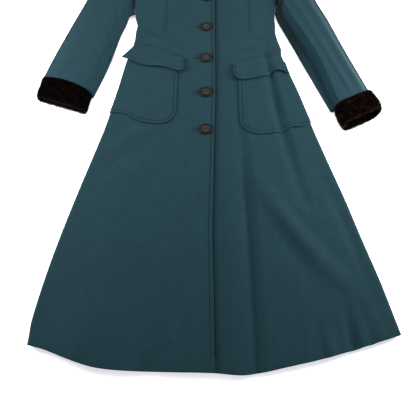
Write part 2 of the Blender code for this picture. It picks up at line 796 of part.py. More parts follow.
def cut_to_outline(grid, places, normals, outline):
    """Cuts a panel's skin along an outline in plan. Returns faces, places and normals of what is inside."""
    rows, columns, _ = grid.shape
    shape = bmesh.new()
    kept_place = shape.verts.layers.float_vector.new("place")
    kept_normal = shape.verts.layers.float_vector.new("normal")
    skin = []
    for i in range(rows):
        for j in range(columns):
            spot = shape.verts.new((*grid[i, j], 0))
            spot[kept_place], spot[kept_normal] = Vector(places[i, j]), Vector(normals[i, j])
            skin.append(spot)
    low, high = outline.min(axis=0) - 60, outline.max(axis=0) + 60
    for face in grid_faces(rows, columns):
        middle = np.mean([skin[k].co[:2] for k in face], axis=0)
        if (middle > low).all() and (middle < high).all():
            shape.faces.new([skin[k] for k in face])
    for start, end in zip(outline, np.roll(outline, -1, axis=0)):
        middle, reach = (start + end) / 2, np.linalg.norm(end - start) / 2 + CUT_REACH
        near = [f for f in shape.faces if np.linalg.norm(np.array(f.calc_center_median()[:2]) - middle) < reach]
        edges = {e for f in near for e in f.edges}
        corners = {v for f in near for v in f.verts}
        across = Vector((end[1] - start[1], start[0] - end[0], 0)).normalized()
        bmesh.ops.bisect_plane(
            shape, geom=[*near, *edges, *corners], dist=CUT_SNAP, plane_co=(*middle, 0), plane_no=across
        )
    outside = [f for f in shape.faces if not inside_outline(f.calc_center_median(), outline)]
    bmesh.ops.delete(shape, geom=outside, context="FACES")
    bmesh.ops.triangulate(shape, faces=shape.faces)
    shape.verts.ensure_lookup_table()
    shape.verts.index_update()
    faces = [tuple(v.index for v in f.verts) for f in shape.faces]
    cut_places = np.array([v[kept_place] for v in shape.verts])
    cut_normals = np.array([unit(np.array(v[kept_normal])) for v in shape.verts])
    shape.free()
    return faces, cut_places, cut_normals


def pocket(side, panel):
    """A patch pocket that lies on the skirt front and reaches its folded side."""
    grid, places, normals = (part[:, 1:] for part in panel)
    faces, places, normals = cut_to_outline(grid, places, normals, outline_of_pocket(side))
    inner = places + normals * SEAM
    slab(f"pocket_{side['name']}", faces, inner + normals * CLOTH, inner, WOOL)


def flap(side):
    """A pocket flap: sewn on above the pocket, it climbs over it and its free edge stands off."""
    sizes = FLAPS[side["name"]]
    seam = samples(sizes["seam"], FLAP_SHARES)
    edge = samples(sizes["edge"], FLAP_SHARES)
    places = np.zeros((FLAP_ROWS + 1, len(FLAP_SHARES), 3))
    normals = np.zeros_like(places)
    on_pocket = CLOTH + SEAM
    for i, t in enumerate(even(FLAP_ROWS)):
        lift = FLAP_GAP + on_pocket * ease(t / FLAP_SEAM_SHARE) + FLAP_LIFT * t * t
        for j in range(len(FLAP_SHARES)):
            x, y = seam[j] + (edge[j] - seam[j]) * t
            limit = side_x(side, y) - side["sign"] * ROLL_RADIUS
            inside = max(x, limit) if side["sign"] < 0 else min(x, limit)
            place, normal = upright(front_height, inside, y, 1)
            place[0] = x
            places[i, j] = place + normal * lift
            normals[i, j] = normal
    wall(f"flap_{side['name']}", places + normals * CLOTH, places, WOOL)


def button(index):
    """A dished button, turned from its profile, that follows the slope of the cloth under it."""
    name = f"button_{index + 1}"
    mesh = bpy.data.meshes.new(name)
    rim = [Vector((radius, 0, height)) * MM for radius, height in BUTTON_PROFILE]
    mesh.from_pydata(rim, [(i, i + 1) for i in range(len(rim) - 1)], [])
    made = add_object(name, mesh, HORN)
    screw = made.modifiers.new("turn", "SCREW")
    screw.axis = "Z"
    screw.steps = screw.render_steps = BUTTON_STEPS
    screw.use_merge_vertices = True
    screw.merge_threshold = 0.00001
    screw.use_smooth_shade = True
    place, normal = button_seat(LOWEST_BUTTON_Y + index * BUTTON_PITCH)
    made.location = Vector(place + normal * BUTTON_GAP) * MM
    made.rotation_euler = Vector(normal).to_track_quat("Z", "Y").to_euler()


def button_seat(y):
    """The outer skin under a button, on the lapping front or on the collar."""
    if y < FRONT_NECK_Y:
        return upright(front_height, BUTTON_X, y, 1)
    rise = COLLAR_OPEN - FLAT_TOP
    up_collar = (y - FRONT_NECK_Y - 2 * SEAM) / COLLAR_FRONT_RUN
    place = np.array((BUTTON_X, y, FLAT_TOP + rise * up_collar))
    return place, unit(np.array((0, -rise, COLLAR_FRONT_RUN)))


def centre_on_origin():
    """Moves the coat so that the middle of its box is over the origin."""
    bpy.context.view_layer.update()
    graph = bpy.context.evaluated_depsgraph_get()
    corners = []
    for made in COAT.objects:
        ready = made.evaluated_get(graph)
        corners += [ready.matrix_world @ Vector(c) for c in ready.bound_box]
    xs, ys = [c.x for c in corners], [c.y for c in corners]
    shift = Matrix.Translation((-(min(xs) + max(xs)) / 2, -(min(ys) + max(ys)) / 2, 0))
    for made in COAT.objects:
        made.matrix_world = shift @ made.matrix_world
    print("centre moved by", [round(v / MM, 2) for v in shift.translation])


for old in list(bpy.data.objects):
    bpy.data.objects.remove(old)
COAT = bpy.data.collections.new("coat")
bpy.context.scene.collection.children.link(COAT)

for side in (RIGHT, LEFT):
    front_surface = front_height if side is RIGHT else under_lap_height
    for kind, surface, up in (("front", front_surface, 1), ("back", back_height, -1)):
        panel = skirt(side, kind, surface, up)
        if kind == "front":
            pocket(side, panel)
        bodice_side(side, kind, surface, up)
        bodice_centre(side, kind, surface, up)
    cloth_wall(f"sleeve_top_{side['name']}", *sleeve_layer(side, 1))
    cloth_wall(f"sleeve_under_{side['name']}", *sleeve_layer(side, -1))
    cuff(side)
    flap(side)
collar()
for number in range(BUTTON_COUNT):
    button(number)
centre_on_origin()
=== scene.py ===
# %% [markdown]
# # A stand-collar wool coat with fur cuffs, laid flat
# The coat lies on its back on a pale surface, buttoned up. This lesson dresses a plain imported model
# of it: every cloth panel is rebuilt from the same measurements with a much finer mesh, then come
# topstitching, buttonholes, buttons, fur and light. All sizes below are in millimetres unless a
# name says otherwise.

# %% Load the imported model
import math

import bpy
import numpy as np
from mathutils import Matrix, Vector


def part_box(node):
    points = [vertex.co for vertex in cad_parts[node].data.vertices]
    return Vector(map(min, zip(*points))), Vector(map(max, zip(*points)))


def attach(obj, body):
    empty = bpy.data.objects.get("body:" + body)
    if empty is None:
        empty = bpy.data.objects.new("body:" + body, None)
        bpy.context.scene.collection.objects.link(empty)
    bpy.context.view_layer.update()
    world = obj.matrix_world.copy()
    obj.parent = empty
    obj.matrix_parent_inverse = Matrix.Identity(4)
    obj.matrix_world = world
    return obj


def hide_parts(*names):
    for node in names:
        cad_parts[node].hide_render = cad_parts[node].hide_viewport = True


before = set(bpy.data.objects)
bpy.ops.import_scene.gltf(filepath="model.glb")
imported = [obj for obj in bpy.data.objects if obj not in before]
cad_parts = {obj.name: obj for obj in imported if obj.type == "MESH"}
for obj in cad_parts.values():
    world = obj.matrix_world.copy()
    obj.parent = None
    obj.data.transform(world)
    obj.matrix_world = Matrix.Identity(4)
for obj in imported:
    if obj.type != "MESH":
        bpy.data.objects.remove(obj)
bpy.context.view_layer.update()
print("the packed model has", len(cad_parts), "solids")

# %% [markdown]
# ## Measurements
# The maker's measurements: x runs from the wearer's right to the left, y from the hem to the
# collar, and y = 0 is the waist seam. They repeat the values of the solid model, so that each fine
# panel lies where its solid lies.

# %% Cloth and folded sides
MM = 0.001
CLOTH = 2.5
SEAM = 0.4
ROLL_RADIUS = 8.0
FLAT_TOP = 2 * ROLL_RADIUS
ROLL_ANGLES = np.radians([0, 12, 24, 36, 48, 60, 70, 80, 90])
ROLL_DEPTHS = ROLL_RADIUS * (1 - np.cos(ROLL_ANGLES))
ROLL_STEPS = len(ROLL_ANGLES) - 1
CENTRE_X = -6.0
SHOULDER_Y = 350.0
ARMPIT_Y = 190.0
MESH_STEP = {"front": 5.0, "back": 14.0}  # size of a mesh face on each layer

# %% Outline of the skirt and the bodice
FRONT_EDGE = ((318, 18), (0, 18), (-200, 18), (-310, 15), (-440, 12), (-563, 9), (-700, 11), (-860, 13))
OVERLAP = 44.0
LAP_STEP = CLOTH + 0.5
LAP_RUN = 52.0
SIDES = (
    (190, -210, 200),
    (120, -207, 195),
    (85, -204, 187),
    (49, -199, 183),
    (31, -193, 184),
    (5, -196, 183),
    (-22, -197, 187),
    (-56, -203, 195),
    (-73, -207, 194),
    (-106, -214, 203),
    (-138, -220, 210),
    (-185, -228, 225),
    (-246, -241, 242),
    (-304, -254, 258),
    (-386, -276, 282),
    (-489, -304, 313),
    (-585, -328, 339),
    (-673, -347, 364),
    (-756, -361, 384),
    (-785, -362, 391),
    (-805, -363, 398),
)
HEM = (
    (-363, -804),
    (-327, -813),
    (-272, -832),
    (-224, -846),
    (-172, -852),
    (-84, -855),
    (13, -857),
    (66, -861),
    (107, -856),
    (151, -847),
    (222, -832),
    (295, -813),
    (391, -785),
)
RIGHT = {
    "name": "right",
    "sign": -1,
    "shoulder": (-196, SHOULDER_Y),
    "armpit": (-210, ARMPIT_Y),
    "armhole": ((-206, 205), (-178, 234), (-167, 280)),
    "princess": ((-120, 0), (-121, 110), (-136, 190)),
    "hem_end": (-363, -804),
}
LEFT = {
    "name": "left",
    "sign": 1,
    "shoulder": (182, SHOULDER_Y),
    "armpit": (200, ARMPIT_Y),
    "armhole": ((196, 205), (168, 234), (156, 280)),
    "princess": ((118, 0), (119, 110), (132, 190)),
    "hem_end": (391, -785),
}
NECK_SIDE = (72.0, 385.0)
FRONT_NECK_Y = 318.0
BACK_NECK_Y = 368.0
UNDER_NECK_RISE = 5.0

# %% [markdown]
# ## Folds of the cloth
# A coat that lies flat still keeps air between its layers. Broad low hills and a few long creases
# carry most of its light and shade. Each crease is a short curve with a half width and a height at
# its start, middle and end. The second table holds slighter ones, which need the fine mesh.

# %% Tables of hills, creases and slight creases
# x, y, half width in x, half length in y, height
HILLS = (
    (-8, -170, 210, 230, 3),
    (-92, 105, 95, 110, 7),
    (84, 105, 95, 110, 6),
    (-262, -820, 80, 150, 9),
    (60, -620, 300, 330, 4),
)
# start, middle and end, half width, height at the three points
FOLDS = (
    ((76, -250), (88, -490), (97, -858), 24, (-2, -8, -8)),
    ((48, -330), (50, -560), (52, -850), 30, (1, 4, 3)),
    ((150, -40), (170, -240), (218, -500), 22, (-3, -9, -3)),
    ((112, -424), (180, -552), (282, -676), 34, (2, 9, 4)),
    ((140, -500), (190, -620), (256, -735), 26, (0, -2, 0)),
    ((252, -390), (312, -560), (352, -720), 24, (-1, -7, -2)),
    ((280, -690), (285, -750), (291, -808), 18, (0, -4, -8)),
    ((232, -730), (240, -780), (246, -828), 20, (0, 3, 6)),
    ((-120, -300), (-185, -325), (-250, -375), 24, (1, 3, 1)),
    ((-140, -345), (-190, -378), (-258, -420), 24, (0, -2, -1)),
    ((-108, -760), (-112, -810), (-116, -853), 34, (0, -3, -6)),
    ((-196, 40), (-120, 8), (-56, -34), 15, (2, 5, 1)),
    ((-196, -2), (-140, -22), (-80, -60), 15, (-2, -4, -1)),
    ((62, -56), (120, -58), (182, -48), 15, (1, 4, 2)),
    ((70, -28), (120, -26), (170, -20), 15, (-1, -4, -1)),
)
SLIGHT_FOLDS = (
    ((80, -300), (88, -500), (97, -858), 10, (0, -1.8, -1.8)),
    ((-190, 24), (-150, 6), (-104, -26), 9, (3.4, 4.2, 0)),
    ((-192, 8), (-154, -8), (-112, -34), 8, (-2.6, -3.6, 0)),
    ((-190, 58), (-150, 36), (-118, 12), 9, (2.8, 3.8, 0)),
    ((-186, 42), (-150, 22), (-80, -14), 8, (-2.2, -3.0, 0)),
    ((-205, -60), (-170, -50), (-130, -40), 8, (0, 1.4, 0)),
    ((-216, -272), (-232, -290), (-250, -300), 8, (1.0, 2.0, 1.0)),
    ((-210, -300), (-150, -312), (-90, -322), 9, (0, 1.2, 0)),
    ((-60, -420), (-80, -600), (-96, -790), 22, (0, -1.0, 0)),
    ((-200, -480), (-232, -620), (-262, -760), 24, (0, 1.0, 0)),
    ((330, -700), (338, -745), (348, -790), 14, (0, 1.6, 2.4)),
    ((306, -700), (318, -745), (326, -800), 10, (0, -1.4, -2.2)),
    ((186, -640), (196, -730), (204, -835), 18, (0, 1.4, 1.8)),
    ((-30, 60), (-60, 20), (-100, -10), 9, (0, 1.2, 0)),
    ((70, -44), (120, -42), (176, -34), 7, (0, 2.4, 1.0)),
    ((150, -60), (166, -150), (180, -250), 9, (0, -2.2, -1.6)),
)
RELIEF_FADE = 40.0  # hills and creases reach full height this far inside the folded sides
SLIGHT_FADE = 14.0  # the same for the slight creases
RELIEF_TOP = (150.0, 290.0)  # everything fades out between these two heights on the chest

# %% Sleeves, cuffs and collar
# outer fold x, y, inner fold x, y, crown height
SLEEVES = {
    "right": (
        (-196, 350, -210, 190, 0),
        (-266, 318, -212, 145, 3),
        (-316, 220, -208, 104, 6),
        (-342, 118, -204.8, 66, 8),
        (-370, 33, -230, 14, 8),
        (-394, -42, -248, -60, 8),
        (-411, -98, -264, -126, 8),
        (-427, -156, -290, -206, 8),
    ),
    "left": (
        (182, 350, 200, 190, 0),
        (240, 320, 202, 145, 5),
        (274, 226, 194.4, 104, 13),
        (303, 121, 187.6, 64, 18),
        (330, 48, 204, 13, 20),
        (355, -30, 228, -49, 20),
        (379, -102, 256, -122, 20),
        (413, -199, 306, -250, 21),
    ),
}
SLEEVE_RUN = 450.0  # length of a sleeve, which sets how many faces it gets
CROWN_SIDE = 0.3
FLANGE = {"right": 0.0, "left": 0.26}
FLANGE_RISE = 0.06
CUFFS = {
    "right": {
        "length": 54.0,
        "height": 27.0,
        "mouth": 25.0,
        "proud": -2.5,
        "start_in": 0.0,
        "lean": 11.0,
        "bulge": 14.0,
        "slant": -0.04,
        "rake": 0.0,
    },
    "left": {
        "length": 62.0,
        "height": 41.0,
        "mouth": 43.0,
        "proud": 0.5,
        "start_in": 4.0,
        "lean": -7.0,
        "bulge": 2.0,
        "slant": 0.0,
        "rake": 8.0,
    },
}
FUR = 8.0
MOUTH_ROUNDING = 3.0
COLLAR_HEIGHT = 50.0
COLLAR_OPEN = 42.0
COLLAR_TOP_SHARE = 0.95
COLLAR_FRONT_RUN = math.sqrt(COLLAR_HEIGHT**2 - (COLLAR_OPEN - FLAT_TOP) ** 2)

# %% Pockets, flaps and buttons
POCKETS = {
    "right": {
        "top": ((-79, -104), (-217, -84)),
        "inner": ((-79, -104), (-79, -232), (-82, -262), (-94, -284)),
        "bottom": ((-94, -284), (-118, -292), (-167, -284), (-205, -263), (-243, -258)),
    },
    "left": {
        "top": ((78, -122), (205, -100)),
        "inner": ((78, -122), (78, -272), (83, -296), (98, -313)),
        "bottom": ((98, -313), (125, -320), (172, -313), (206, -300), (232, -298), (249, -286)),
    },
}
FLAPS = {
    "right": {
        "seam": ((-65, -90), (-124, -61), (-186, -40)),
        "edge": ((-62, -124), (-65, -135), (-76, -137), (-112, -124), (-164, -117), (-208, -97), (-225, -91)),
    },
    "left": {
        "seam": ((66, -109), (120, -90), (186, -70)),
        "edge": ((66, -142), (70, -155), (84, -164), (102, -162), (139, -152), (178, -133), (209, -144)),
    },
}
FLAP_SEAM_SHARE = 0.3
FLAP_LIFT = 2.2
FLAP_GAP = 0.8
BUTTON_PITCH = 107.5
LOWEST_BUTTON_Y = -306.5
BUTTON_X = -5.0
BUTTON_COUNT = 7
BUTTON_GAP = 0.6

# %% [markdown]
# ## From measurements to the model's frame
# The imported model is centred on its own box. The waist seam and the centre seam of the back show
# where the maker's zero point lies in it, so the same shift is read back from those two edges.

# %% Zero point of the measurements
skirt_low, skirt_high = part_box("skirt_back_left")
ZERO = np.array((skirt_low[0] / MM - CENTRE_X - SEAM / 2, skirt_high[1] / MM + SEAM / 2, 0.0))
print("zero point, mm:", np.round(ZERO, 2))


def in_frame(points):
    """Millimetres of the maker's table to metres of the model's frame."""
    return (np.asarray(points, float) + ZERO) * MM


# %% [markdown]
# ## Camera
# The picture was taken from above the knees, looking down and a little towards the collar. The even
# spacing of the buttons gives the tilt, and the size of the coat gives the distance, for an assumed
# lens that takes in as much width as its distance.

# %% Camera
def new_object(name, data):
    """An object that shows some data, placed in the scene."""
    made = bpy.data.objects.new(name, data)
    bpy.context.scene.collection.objects.link(made)
    return made


CAMERA_TILT = math.radians(21.57)  # from looking straight down
CAMERA_DISTANCE = 936.0
AIM = np.array((0.0, -511.3, 15.0))

camera_data = bpy.data.cameras.new("camera")
camera_data.sensor_width = 36.0
camera_data.lens = 36.0
camera = new_object("camera", camera_data)
back_off = np.array((0.0, -math.sin(CAMERA_TILT), math.cos(CAMERA_TILT))) * CAMERA_DISTANCE
camera.location = Vector(in_frame(AIM + back_off))
camera.rotation_euler = (CAMERA_TILT, 0.0, 0.0)
bpy.context.scene.camera = camera
print("camera at", [round(v, 3) for v in camera.location])

# %% [markdown]
# ## Curves through points
# Pattern makers draw edges as smooth curves through a few marked points. A cubic through each pair
# of neighbours does the same, and its slope at a mark follows the marks on both sides.


# %% Smooth curves
def smooth(keys, values, wanted):
    """Smooth curve through values at rising keys, read at the wanted keys."""
    slopes = np.empty_like(values)
    slopes[0] = (values[1] - values[0]) / (keys[1] - keys[0])
    slopes[-1] = (values[-1] - values[-2]) / (keys[-1] - keys[-2])
    if len(keys) > 2:
        slopes[1:-1] = (values[2:] - values[:-2]) / (keys[2:] - keys[:-2])[:, None]
    i = np.clip(np.searchsorted(keys, wanted) - 1, 0, len(keys) - 2)
    width = (keys[i + 1] - keys[i])[..., None]
    t = (wanted - keys[i])[..., None] / width
    square, cube = t * t, t * t * t
    return (
        (2 * cube - 3 * square + 1) * values[i]
        + (cube - 2 * square + t) * width * slopes[i]
        + (3 * square - 2 * cube) * values[i + 1]
        + (cube - square) * width * slopes[i + 1]
    )


def samples(points, shares):
    """Points at given shares of the length of the smooth curve through some points."""
    points = np.array(points, float)
    steps = np.linalg.norm(np.diff(points, axis=0), axis=1)
    keys = np.concatenate([[0], np.cumsum(steps)]) / steps.sum()
    return smooth(keys, points, np.asarray(shares, float))


def table_value(table, key, column):
    """A column of a table at some keys, read smoothly between its rows."""
    rows = np.array(sorted(table), float)
    key = np.clip(np.asarray(key, float), rows[0, 0], rows[-1, 0])
    return smooth(rows[:, 0], rows[:, column : column + 1], key)[..., 0]


def even(count):
    return np.linspace(0, 1, count + 1)


def run_lengths(line):
    """Distance along a line of points to each of them."""
    return np.concatenate([[0], np.cumsum(np.linalg.norm(np.diff(line, axis=0), axis=1))])


def length_of(points):
    return run_lengths(samples(points, even(60)))[-1]


def ease(t):
    t = np.clip(t, 0.0, 1.0)
    return t * t * (3 - 2 * t)


def unit(vectors):
    return vectors / np.maximum(np.linalg.norm(vectors, axis=-1, keepdims=True), 1e-9)


def side_x(side, y):
    return table_value(SIDES, y, 1 if side["sign"] < 0 else 2)


def edge_x(y):
    return table_value(FRONT_EDGE, y, 1)


# %% [markdown]
# ## The height of the front
# Any point of the front gets its height from the tables of hills and creases. A slow, very low
# unevenness is added, because no heavy cloth lies perfectly flat. The creases are made by functions
# and not by a cloth simulation, so that the outline stays where the pattern puts it.


# %% Height of the front
def fold_distance(x, y, start, middle, end):
    """Distance from points to a curved crease, and their share along it."""
    shares = np.linspace(0, 1, 13)[:, None]
    control = 2 * np.array(middle, float) - (np.array(start, float) + np.array(end, float)) / 2
    line = (1 - shares) ** 2 * start + 2 * shares * (1 - shares) * control + shares**2 * np.array(end)
    return line_distance(x, y, line)


def line_distance(x, y, line):
    """Distance from points to a line of straight runs, and their share along it."""
    best = np.full(np.shape(x), np.inf)
    share = np.zeros(np.shape(x))
    for k, (a, b) in enumerate(zip(line[:-1], line[1:])):
        step = b - a
        along = np.clip(((x - a[0]) * step[0] + (y - a[1]) * step[1]) / (step @ step), 0, 1)
        gap = np.hypot(x - a[0] - along * step[0], y - a[1] - along * step[1])
        nearer = gap < best
        best = np.where(nearer, gap, best)
        share = np.where(nearer, (k + along) / (len(line) - 1), share)
    return best, share


def unevenness(x, y):
    """A slow, low waviness that never repeats over the coat."""
    first = np.sin(x / 37 + 1.3 * np.sin(y / 91)) * np.sin(y / 53 + 0.8 * np.sin(x / 67))
    second = np.sin(x / 19 - y / 31) * np.sin(y / 23 + x / 47)
    return 0.45 * first + 0.18 * second


def relief(x, y):
    total = unevenness(x, y)
    for hill_x, hill_y, half_width, half_length, height in HILLS:
        away = np.hypot((x - hill_x) / half_width, (y - hill_y) / half_length)
        total = total + height * (1 - ease(away))
    total = total + fold_heights(FOLDS, x, y)
    inside = np.where(x < 0, x - side_x(RIGHT, y), side_x(LEFT, y) - x) - ROLL_RADIUS
    total = total * ease(inside / RELIEF_FADE) + fold_heights(SLIGHT_FOLDS, x, y) * ease(inside / SLIGHT_FADE)
    low, high = RELIEF_TOP
    return total * (1 - ease((y - low) / (high - low)))


def fold_heights(folds, x, y):
    total = 0.0
    for start, middle, end, half_width, heights in folds:
        away, share = fold_distance(x, y, start, middle, end)
        height = np.interp(share, (0, 0.5, 1), heights)
        total = total + height * (1 - ease(away / half_width))
    return total


def front_height(x, y):
    return FLAT_TOP + relief(x, y)


EDGE_WELT = 2.6
WELT_WIDTH = 10.0
WELT_TOP = (250.0, 50.0)  # where the welt starts to fade towards the collar, and over what length
UNDER_DIP = 0.8
UNDER_DIP_WIDTH = 9.0
LAP_START = 6.0  # the under lap starts to rise this far from the front edge


def lapping_height(x, y):
    """The right front, whose doubled edge stands up a little along the topstitching."""
    fade_from, fade_run = WELT_TOP
    fade = 1 - ease((y - fade_from) / fade_run)
    return front_height(x, y) + EDGE_WELT * (1 - ease((edge_x(y) - x) / WELT_WIDTH)) * fade


def under_lap_height(x, y):
    past_edge = x - edge_x(y)
    pressed = UNDER_DIP * (1 - ease(np.abs(past_edge) / UNDER_DIP_WIDTH))
    return front_height(x, y) - LAP_STEP * (1 - ease((past_edge - LAP_START) / LAP_RUN)) - pressed


def back_height(x, y):
    return np.zeros(np.shape(x))


def surface_at(height, x, y, up=1):
    """Points of a layer with their outward directions."""
    x, y = np.asarray(x, float), np.asarray(y, float)
    slope_x = (height(x + 1, y) - height(x - 1, y)) / 2
    slope_y = (height(x, y + 1) - height(x, y - 1)) / 2
    normals = unit(np.stack([-slope_x, -slope_y, np.ones(x.shape)], axis=-1)) * up
    return np.stack([x, y, height(x, y)], axis=-1), normals


# %% [markdown]
# ## Panels
# A panel is a sheet with four borders, some of them long and curved. Its inside is filled from its
# borders, lifted to the height of its layer, and rolled down where the coat is folded at the side.
# Then it gets its thickness, and two extra rows beside each edge turn that edge down softly.


# %% Fill a panel from its four borders
def patch(start, end, first, last):
    """start and end are the first and last column of the panel, first and last its rows."""
    down_start, down_end, across_first, across_last = (
        run_lengths(line) / run_lengths(line)[-1] for line in (start, end, first, last)
    )
    t = down_start[:, None] + (down_end - down_start)[:, None] * across_first[None, :]
    s = across_first[None, :] + (across_last - across_first)[None, :] * t
    t = down_start[:, None] + (down_end - down_start)[:, None] * s
    s, t = s[..., None], t[..., None]
    corners = (1 - s) * (1 - t) * first[0] + s * (1 - t) * first[-1]
    corners = corners + (1 - s) * t * last[0] + s * t * last[-1]
    return (1 - t) * first[None] + t * last[None] + (1 - s) * start[:, None] + s * end[:, None] - corners


def from_start(points, step):
    """Shares for the roll at a curve's start, then even steps over the rest."""
    length = length_of(points)
    near = ROLL_DEPTHS / length
    rest = max(3, round((length - ROLL_RADIUS) / step))
    return np.concatenate([near[:-1], near[-1] + (1 - near[-1]) * even(rest)])


def rolled(plan, depth, out, up):
    """Points on the roll of a folded side, at depths from its outermost line."""
    across = 1 - depth / ROLL_RADIUS
    rise = np.sqrt(np.maximum(0.0, 1 - across**2))
    height = ROLL_RADIUS + up * np.maximum(ROLL_RADIUS * rise, SEAM / 2)
    places = np.concatenate([plan, height[..., None]], axis=-1)
    normals = np.concatenate([out * across[..., None], up * rise[..., None]], axis=-1)
    return places, normals


def layer(grid, height, up, fold_start=False, fold_end=False):
    """Lifts a plan grid to its layer and rolls its first or last columns down."""
    places, normals = surface_at(height, grid[..., 0], grid[..., 1], up)
    if fold_start:
        out = unit(grid[:, 0] - grid[:, ROLL_STEPS])
        for j in range(ROLL_STEPS):
            depth = np.full(len(grid), ROLL_DEPTHS[j])
            places[:, j], normals[:, j] = rolled(grid[:, j], depth, out, up)
    if fold_end:
        out = unit(grid[:, -1] - grid[:, -1 - ROLL_STEPS])
        for j in range(ROLL_STEPS):
            depth = np.full(len(grid), ROLL_DEPTHS[j])
            places[:, -1 - j], normals[:, -1 - j] = rolled(grid[:, -1 - j], depth, out, up)
    return places, normals


# %% Close a panel into cloth of real thickness
SOFT = 0.9  # edge radius of a free edge
PRESSED = 0.25  # edge radius in a seam that is pressed flat
PRESSED_SEAM = 0.1  # gap at the waist seam and the centre back seam
EDGE_TURN = 0.29  # halfway round a quarter circle its depth is this share of the radius
pieces = {}


def add_piece(name, vertices, faces, finish, smooth_angle=45):
    """A mesh object in the model's frame, from millimetres."""
    mesh = bpy.data.meshes.new(name)
    mesh.from_pydata(in_frame(vertices).tolist(), [], faces)
    mesh.materials.append(finish)
    mesh.shade_smooth()
    mesh.set_sharp_from_angle(angle=math.radians(smooth_angle))
    pieces[name] = new_object(name, mesh)
    return pieces[name]


def mesh_points(mesh):
    """The points of a mesh in the maker's millimetres."""
    points = np.empty(len(mesh.vertices) * 3, np.float32)
    mesh.vertices.foreach_get("co", points)
    return points.reshape(-1, 3) / MM - ZERO


def store_values(mesh, name, values):
    """One number for each point of a mesh, for its material to read."""
    mesh.attributes.new(name, "FLOAT", "POINT").data.foreach_set("value", values.astype(np.float32))


def wall_faces(rows, columns, ring):
    """Quads of an outer grid, of the inner grid behind it, and of the rims between them."""
    count = rows * columns
    index = np.arange(count).reshape(rows, columns)
    if ring:
        index = np.concatenate([index, index[:, :1]], axis=1)
    a, b = index[:-1, :-1].ravel(), index[:-1, 1:].ravel()
    c, d = index[1:, 1:].ravel(), index[1:, :-1].ravel()
    faces = [np.stack([a, b, c, d], 1), np.stack([d, c, b, a], 1) + count]
    borders = [index[0, ::-1], index[-1]]
    if not ring:
        borders += [index[:, 0], index[::-1, -1]]
    for border in borders:
        near, far = border[:-1], border[1:]
        faces.append(np.stack([near, far, far + count, near + count], 1)[:, ::-1])
    return np.concatenate(faces)


def signed_volume(vertices, faces):
    corners = vertices[faces]
    first = np.cross(corners[:, 1], corners[:, 2])
    second = np.cross(corners[:, 2], corners[:, 3])
    return ((corners[:, 0] * first).sum() + (corners[:, 0] * second).sum()) / 6


def edge_rows(places, normals, depth, radius):
    """Adds two rows near the first row, which turn it down by a radius."""
    gap = np.linalg.norm(places[1] - places[0], axis=-1)
    if gap.min() < 2 * radius:
        return places, normals, depth
    rows = [places[:1]]
    facing = [normals[:1]]
    depths = [np.full_like(depth[:1], radius)]
    for share in (EDGE_TURN, 1.0):
        t = (radius * share / gap)[:, None]
        rows.append((places[0] + (places[1] - places[0]) * t)[None])
        facing.append(unit(normals[0] + (normals[1] - normals[0]) * t)[None])
        depths.append(np.maximum(depth[:1], radius * (EDGE_TURN if share < 1 else 0.0)))
    rows.append(places[1:])
    facing.append(normals[1:])
    depths.append(depth[1:])
    return np.concatenate(rows), np.concatenate(facing), np.concatenate(depths)


def cloth(name, places, normals, edges=(SOFT, SOFT, SOFT, SOFT)):
    """Cloth behind a grid of points. edges: radii at its first row, last column, last row, first column."""
    depth = np.zeros(places.shape[:2])
    for edge in edges:
        places, normals, depth = edge_rows(places, normals, depth, edge)
        # a quarter turn, so that each border comes first once
        places, normals, depth = (np.flip(a.swapaxes(0, 1), 0) for a in (places, normals, depth))
    rows, columns, _ = places.shape
    outer, inner = places - normals * depth[..., None], places - normals * CLOTH
    vertices = np.concatenate([outer.reshape(-1, 3), inner.reshape(-1, 3)])
    faces = wall_faces(rows, columns, False)
    if signed_volume(vertices, faces) < 0:
        faces = faces[:, ::-1]
    return add_piece(name, vertices, faces.tolist(), WOOL, 55)


# %% [markdown]
# ## Materials
# Every colour is a plain hex value and one function turns it to linear light. One more small
# function adds a node with its settings and links.


# %% Helpers for colours and nodes
def to_linear(hex_colour):
    """sRGB hex such as "#2e4a52" to linear RGBA."""
    values = [int(hex_colour[i : i + 2], 16) / 255 for i in (1, 3, 5)]
    linear = [v / 12.92 if v <= 0.04045 else ((v + 0.055) / 1.055) ** 2.4 for v in values]
    return (*linear, 1.0)


def add_node(tree, kind, inputs=(), **settings):
    """A node with its settings. A tuple of node and output links, any other value is set."""
    node = tree.nodes.new(kind)
    for key, value in settings.items():
        setattr(node, key, value)
    for name, value in dict(inputs).items():
        if isinstance(value, tuple) and len(value) == 2 and isinstance(value[0], bpy.types.Node):
            tree.links.new(value[0].outputs[value[1]], node.inputs[name])
        else:
            node.inputs[name].default_value = value
    return node


def new_material(name, roughness, specular=0.3):
    """A material with its node tree and its main shader."""
    made = bpy.data.materials.new(name)
    made.use_nodes = True
    shader = made.node_tree.nodes["Principled BSDF"]
    shader.inputs["Roughness"].default_value = roughness
    shader.inputs["Specular IOR Level"].default_value = specular
    return made, made.node_tree, shader


def blend_colours(tree, factor, first, second):
    """A ramp between two hex colours, driven by a node's output."""
    ramp = add_node(tree, "ShaderNodeValToRGB", {"Fac": factor})
    ramp.color_ramp.elements[0].color = to_linear(first)
    ramp.color_ramp.elements[1].color = to_linear(second)
    return ramp
